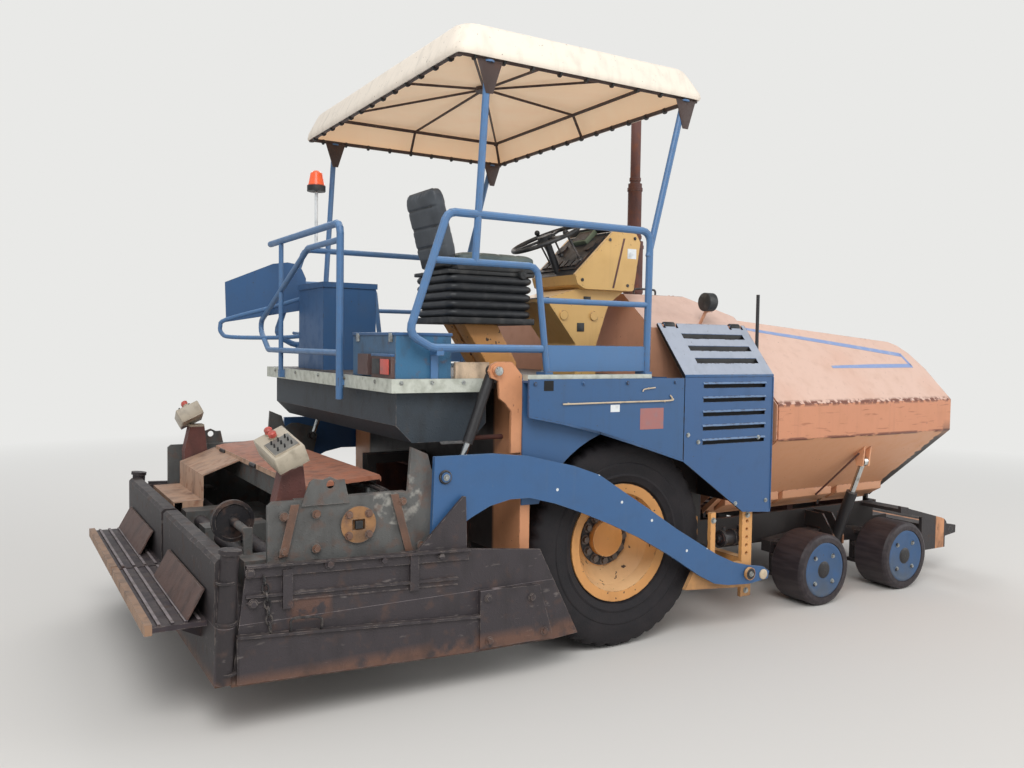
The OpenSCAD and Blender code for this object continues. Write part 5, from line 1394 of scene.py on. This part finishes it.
def console_trim():
    """Display, levers with ball knobs, switch plates, edge strip and lip of the console."""
    frame_box = [prism(on_panel(0.285, 0.392, 0.004, 0.034), "y", -0.70, -0.54)]
    piece("display_frame", frame_box, olive_plastic, "tractor", "black_plastic", 0.004)
    piece("display_glass", [prism(on_panel(0.297, 0.380, 0.034, 0.0355), "y", -0.688, -0.552)],
          black_steel, "tractor", "black_plastic")
    boot = turned([(0.010, -0.004), (0.020, 0.0), (0.016, 0.012), (0.010, 0.020)], (0, 0, 0), "z", 14)
    ball = [(0.0175 * math.cos(math.radians(d)), 0.0175 * math.sin(math.radians(d)))
            for d in range(-85, 86, 17)]
    leaning = Matrix.Rotation(math.radians(-44), 4, "Y")
    levers, balls = [], []
    for y, a, tip in ((-0.80, 0.12, 0.20), (-0.755, 0.15, 0.17), (-0.47, 0.12, 0.16),
                      (-0.43, 0.17, 0.20), (-0.51, 0.20, 0.13)):
        foot = PANEL_FOOT + PANEL_RUN * a
        top = foot + PANEL_OUT * tip + PANEL_RUN * 0.03
        levers.append(tube([(foot.x, y, foot.y), (top.x, y, top.y)], 0.006, 8))
        levers += set_at([boot], Matrix.Translation((foot.x, y, foot.y)) @ leaning)
        balls.append(turned(ball, (top.x, y, top.y), "z", 16))
    piece("console_levers", levers, black_steel, "tractor", "dark_steel")
    piece("console_knobs", balls, black_plastic, "tractor", "black_plastic", sharp=60)
    plates = [box((x - 0.026, -0.8035, z - 0.026), (x + 0.026, -0.7995, z + 0.026))
              for x, z in ((-0.545, 1.86), (-0.50, 2.02))]
    piece("switch_plates", plates, black_plastic, "tractor", "black_plastic", 0.001)
    strip = [prism([(-0.279, 2.405), (-0.265, 2.405), (-0.343, 2.100), (-0.357, 2.100)], "y", -0.8612,
                   -0.8595)]
    piece("console_strip", strip, rusty_steel, "tractor", "brown_paint")
    piece("console_blank", [box((-0.245, -0.8612, 2.285), (-0.178, -0.8595, 2.345))], white_paint,
          "tractor", "black_plastic")
    rows = heads_on(-0.8605, ((-0.58, 2.14), (-0.24, 2.12), (-0.38, 2.39), (-0.19, 2.41)))
    bolts("console_bolts", "tractor", rows, 0.012, black_steel)
    lip = [prism(on_panel(0.392, 0.400, 0.0, 0.045), "y", -0.86, -0.38)]
    piece("console_lip", lip, console_enamel, "tractor", "black_plastic", 0.002)


def beacon_trim():
    """Pale pole, foot and clamp of the flashing lamp."""
    x, y = -1.535, 1.15
    piece("beacon_pole", [disc((x, y), "z", 0.0122, 2.4375, 2.845, 14)], white_paint, "tractor",
          "amber_lamp")
    foot = turned([(0.02, 2.838), (0.0655, 2.842), (0.0665, 2.848), (0.0665, 2.882), (0.061, 2.888),
                   (0.02, 2.888)], (x, y, 0), "z", 32)
    piece("beacon_foot", [foot], black_plastic, "tractor", "black_plastic")
    clamp = [box((x - 0.03, y - 0.03, 2.4365), (x + 0.03, y + 0.03, 2.462))]
    piece("beacon_clamp", clamp, rail_enamel, "tractor", "blue_paint", 0.003)


def exhaust_trim():
    """Clamp bands and cone of the exhaust pipe, and its flange on the hood."""
    centre = (0.29, -0.25, 0)
    rings = [turned([(r, z), (r + 0.005, z + 0.001), (r + 0.005, z + 0.023), (r, z + 0.024)], centre, "z", 36)
             for r, z in ((0.0642, 2.12), (0.0642, 2.43), (0.0482, 2.50), (0.0482, 2.83), (0.0352, 2.90),
                          (0.0352, 3.33))]
    rings.append(turned([(0.05, 2.0825), (0.092, 2.0825), (0.092, 2.090), (0.066, 2.094), (0.05, 2.094)],
                        centre, "z", 36))
    piece("exhaust_bands", rings, rusty_steel, "tractor", "brown_paint")
    cone = turned([(0.036, 2.8605), (0.047, 2.8605), (0.037, 2.888), (0.036, 2.888)], centre, "z", 36)
    piece("exhaust_cone", [cone], rusty_steel, "tractor", "brown_paint")


def deck_trim():
    """Lids and hasps of the rear boxes, tail lamps, bolts of the edges and rails, pale rollers, lift pins."""
    lids = [box((-1.876, -1.090, 1.788), (-1.554, -0.495, 1.804)),
            box((-1.8935, -1.083, 1.680), (-1.872, -0.817, 1.694))]
    piece("box_lids", lids, blue_enamel, "tractor", "blue_paint", 0.003)
    hasps = [box((-1.8775, y - 0.02, 1.755), (-1.8695, y + 0.02, 1.80)) for y in (-1.03, -0.58)]
    piece("box_hasps", hasps, zinc_plate, "tractor", "dark_steel", 0.002)
    lamp = [box((-1.9005, -1.060, 1.590), (-1.8935, -0.955, 1.668)),
            box((-1.9005, -0.945, 1.590), (-1.8935, -0.850, 1.668))]
    piece("tail_lamp", lamp[:1], red_plastic, "tractor", "amber_lamp", 0.002)
    piece("tail_lamp_off", lamp[1:], black_plastic, "tractor", "black_plastic", 0.002)
    rows = [((x, side * 1.1125, 1.55), (0, side, 0)) for x in (-1.85, -1.68, -1.5, -1.38) for side in SIDES]
    rows += [((-1.9025, y, 1.55), (-1, 0, 0)) for y in (-0.9, -0.45, 0.0, 0.45, 0.9)]
    bolts("edge_bolts", "tractor", rows, 0.013)
    feet = [((x, side * 1.11, 1.6045), (0, 0, 1)) for x in (-1.01, -0.321) for side in SIDES]
    bolts("rail_feet", "tractor", feet, 0.016)
    for side in SIDES:
        roll = turned([(0.001, -1.57), (0.024, -1.57), (0.028, -1.565), (0.028, -1.395), (0.024, -1.39),
                       (0.001, -1.39)], (0, -1.0, 1.247), "x", 24)
        stem = disc((-1.0, 1.247), "x", 0.013, -1.394, -1.198, 16)
        fitted(side, "pale_roller", [roll], white_paint, "tractor", "step_alloy")
        fitted(side, "roller_stem", [stem], rusty_steel, "tractor", "dark_steel")
        pin = turned([(0.001, -1.228), (0.018, -1.228), (0.023, -1.2255), (0.0245, -1.2215),
                      (0.001, -1.2215)], (LIFT_TOP[0], 0, LIFT_TOP[1]), "y", 24)
        fitted(side, "lift_pin", [pin], zinc_plate, "tractor", "dark_steel")


def side_panel():
    """Blue sheet panel, bare, that stands out from the left rail behind the deck on two straps."""
    near, far = Vector((-1.690, 0.900)), Vector((-2.150, 1.300))

    def at(share, z):
        p = near + (far - near) * share
        return p.x, p.y, z

    outline = [at(0.0, 1.971), at(0.0, 2.19), at(0.05, 2.255), at(0.12, 2.29), at(0.22, 2.302),
               at(0.40, 2.293), at(1.0, 2.164), at(0.985, 1.881)]
    across = (far - near).normalized()
    thick = Vector((-across.y, across.x, 0)) * 0.004
    sheet = stacked([outline, [Vector(p) + thick for p in outline]])
    piece("side_panel", [sheet], blue_enamel, "tractor", "blue_paint", 0.001)
    hoop = tube(curve_through([at(0.06, 2.05), at(0.40, 1.99), at(0.98, 1.90), at(1.06, 1.85),
                               at(1.04, 1.80), at(0.92, 1.775), at(0.35, 1.775), at(0.0, 1.79)], 4),
                0.015, 10)
    straps = [tube([at(0.0, z), (-1.66, 1.0, z + 0.01), (-1.70, 1.15, z + 0.02)], 0.012, 8)
              for z in (2.02, 1.79)]
    piece("side_panel_frame", [hoop, *straps], rail_enamel, "tractor", "blue_paint")


seat()
console_trim()
beacon_trim()
exhaust_trim()
deck_trim()
side_panel()


# Screed


def gate_trim(side):
    """Hexagon heads, lifting handle, chain and weld beads on an end gate."""
    body = f"extension_body_{SIDES[side]}"
    rows = heads_on(-1.3245, ((-2.65, 0.74), (-2.29, 0.74)))
    rows += heads_on(-1.3125, ((-1.72, 0.71), (-2.02, 0.725), (-2.633, 0.60)))
    rows += heads_on(-1.3305, ((-1.46, 0.47), (-1.20, 0.44), (-1.45, 0.25), (-1.12, 0.25)))
    side_bolts(side, "gate_bolts", body, rows, 0.026, gate_steel)
    grip = tube(curve_through([(-2.469, -1.315, 0.452), (-2.469, -1.330, 0.470),
                               (-2.466, -1.331, 0.512), (-2.40, -1.331, 0.512), (-2.333, -1.331, 0.500),
                               (-2.327, -1.330, 0.462), (-2.327, -1.315, 0.445)], 4), 0.006, 8)
    fitted(side, "gate_handle", [grip], black_steel, body, "dark_steel")
    y = side * 1.3185
    chain(f"gate_chain_{SIDES[side]}", body, [(-2.586, y, 0.70), (-2.572, y, 0.60), (-2.560, y, 0.485)],
          0.046, 0.0042)
    collars = [disc((-2.742, -1.29), "z", 0.046, z, z + 0.012, 20) for z in (0.30, 0.52, 0.70)]
    fitted(side, "gate_collars", collars, gate_steel, body, "dark_steel", 0.002)
    bead = [tube([(-2.66, -1.3005, 0.60), (-1.62, -1.3005, 0.555)], 0.005, 6)]
    fitted(side, "gate_bead", bead, gate_steel, body, "dark_steel")


FLANGE = (-2.124, 0.893)


def end_plate_trim(side):
    """Heads on the screed's end plate and the dark square end of the shaft in its flange."""
    spots = [(-2.48, 0.96), (-2.48, 0.80), (-2.33, 0.96), (-2.33, 0.80), (-1.90, 0.985), (-1.80, 0.76)]
    spots += [(FLANGE[0] + u, FLANGE[1] + v) for u, v in circle(4, 0.07, 45)]
    rows = heads_on(-1.2565, spots)
    side_bolts(side, "end_plate_bolts", "screed", rows, 0.024, screed_steel)
    hole = [box((-2.142, -1.2635, 0.875), (-2.106, -1.25, 0.911))]
    fitted(side, "flange_hole", hole, black_plastic, "screed", "dark_steel")


def station_trim(side):
    """Face plate, toggles and red caps of a control box, and the pale knob on its post."""
    turn = Matrix.Rotation(math.radians(-26), 4, "Y") @ Matrix.Rotation(math.radians(18), 4, "X")
    tilt = Matrix.Translation((-2.44, -1.075, 1.24)) @ turn
    shell = [box((-0.0765, -0.1275, -0.040), (0.0765, 0.1275, 0.0475))]
    fitted(side, "station_box", set_at(shell, tilt), cream_plastic, "screed", "brown_paint", 0.006)
    plate = [box((-0.060, -0.108, 0.0555), (0.060, 0.018, 0.058))]
    fitted(side, "station_plate", set_at(plate, tilt), grey_plastic, "screed", "black_plastic", 0.001)
    toggles = [tube([(x, y, 0.057), (x + 0.004, y, 0.076)], 0.0045, 8)
               for x in (-0.035, 0.0, 0.035) for y in (-0.085, -0.045, -0.01)]
    fitted(side, "station_toggles", set_at(toggles, tilt), black_plastic, "screed", "black_plastic")
    caps = [turned([(0.001, 0.086), (0.014, 0.085), (0.0195, 0.079), (0.0195, 0.060), (0.001, 0.060)],
                   (0, y, 0), "z", 20) for y in (0.05, 0.096)]
    fitted(side, "station_caps", set_at(caps, tilt), red_plastic, "screed", "black_plastic")
    knob = turned([(0.001, -1.134), (0.013, -1.133), (0.018, -1.128), (0.018, -1.119), (0.001, -1.119)],
                  (-2.40, 0, 0.90), "y", 18)
    fitted(side, "station_knob", [knob], white_paint, "screed", "black_plastic")


def screed_pipes():
    """Steel oil pipes clipped across the screed's frame."""
    section = ((-1.10, 0.99), (-1.06, 1.012), (-0.6, 1.014), (0.6, 1.014), (1.06, 1.012), (1.10, 0.99))
    runs = [tube(curve_through([(x, y, z) for y, z in section], 4), 0.010, 8) for x in (-1.908, -1.934)]
    piece("screed_pipes", runs, black_steel, "screed", "dark_steel")
    clips = [box((-1.945, y - 0.015, 0.975), (-1.895, y + 0.015, 1.004)) for y in (-0.9, -0.3, 0.3, 0.9)]
    piece("screed_clips", clips, zinc_plate, "screed", "dark_steel", 0.001)
    hinges = [disc((-2.288, 1.026), "y", 0.014, y - 0.06, y + 0.06, 14) for y in (-0.75, 0.0, 0.75)]
    piece("cover_hinges", hinges, black_steel, "screed", "dark_steel")


for side in SIDES:
    gate_trim(side)
    end_plate_trim(side)
    station_trim(side)
screed_pipes()


# Stage and light


FLOOR_REACH = 40
HAZE_START, HAZE_END = 3.5, 12.0  # the floor fades into the backdrop between these distances
LIGHTS = (  # name, place, target, size in metres, power in watts
    ("key", (-4.5, -6.5, 7.5), (0, 0, 1), 5, 520),
    ("fill", (7, -6, 4), (0.5, 0, 1), 5, 220),
    ("back", (2, 7, 6), (0, 0, 1.5), 6, 260),
)


def set_stage():
    """Plain pale floor and a soft studio light at which a colour renders about as written."""
    mesh = bpy.data.meshes.new("floor")
    corners = [(x * FLOOR_REACH, y * FLOOR_REACH, 0) for x, y in ((-1, -1), (1, -1), (1, 1), (-1, 1))]
    mesh.from_pydata(corners, [], [(0, 1, 2, 3)])
    floor = bpy.data.objects.new("floor", mesh)
    scene.collection.objects.link(floor)
    pale = bpy.data.materials.new("pale_floor")
    pale.use_nodes = True
    ground = pale.node_tree
    shader = ground.nodes["Principled BSDF"]
    shader.inputs["Base Color"].default_value = rgb("#DAD7D2")
    shader.inputs["Roughness"].default_value = 0.9
    place_on = add(ground, "ShaderNodeNewGeometry").outputs["Position"]
    away = add(ground, "ShaderNodeVectorMath", {"operation": "LENGTH"}, {0: place_on}).outputs["Value"]
    far = add(ground, "ShaderNodeMapRange", None,
              {"Value": away, "From Min": HAZE_START, "From Max": HAZE_END}).outputs[0]
    haze = add(ground, "ShaderNodeEmission", None, {"Color": rgb("#E9E9E7"), "Strength": 1.0}).outputs[0]
    either = add(ground, "ShaderNodeMixShader", None, {0: far, 1: shader.outputs[0], 2: haze}).outputs[0]
    ground.links.new(either, ground.nodes["Material Output"].inputs["Surface"])
    mesh.materials.append(pale)
    world = bpy.data.worlds.new("studio")
    scene.world = world
    world.use_nodes = True
    tree = world.node_tree
    tree.nodes.clear()
    rays = add(tree, "ShaderNodeLightPath").outputs
    seen = add(tree, "ShaderNodeMath", {"operation": "MAXIMUM"},
               {0: rays["Is Camera Ray"], 1: rays["Is Transmission Ray"]})
    light = add(tree, "ShaderNodeBackground", None, {"Color": rgb("#F1F3F6"), "Strength": 0.62})
    backdrop = add(tree, "ShaderNodeBackground", None, {"Color": rgb("#E9E9E7"), "Strength": 1.0})
    either = add(tree, "ShaderNodeMixShader", None,
                 {0: seen.outputs[0], 1: light.outputs[0], 2: backdrop.outputs[0]})
    add(tree, "ShaderNodeOutputWorld", None, {"Surface": either.outputs[0]})
    for name, spot, target, size, power in LIGHTS:
        lamp = bpy.data.objects.new(name, bpy.data.lights.new(name, "AREA"))
        scene.collection.objects.link(lamp)
        lamp.data.size = size
        lamp.data.energy = power
        lamp.location = spot
        lamp.rotation_mode = "QUATERNION"
        lamp.rotation_quaternion = (Vector(spot) - Vector(target)).to_track_quat("Z", "Y")
    scene.view_settings.view_transform = "Standard"


set_stage()
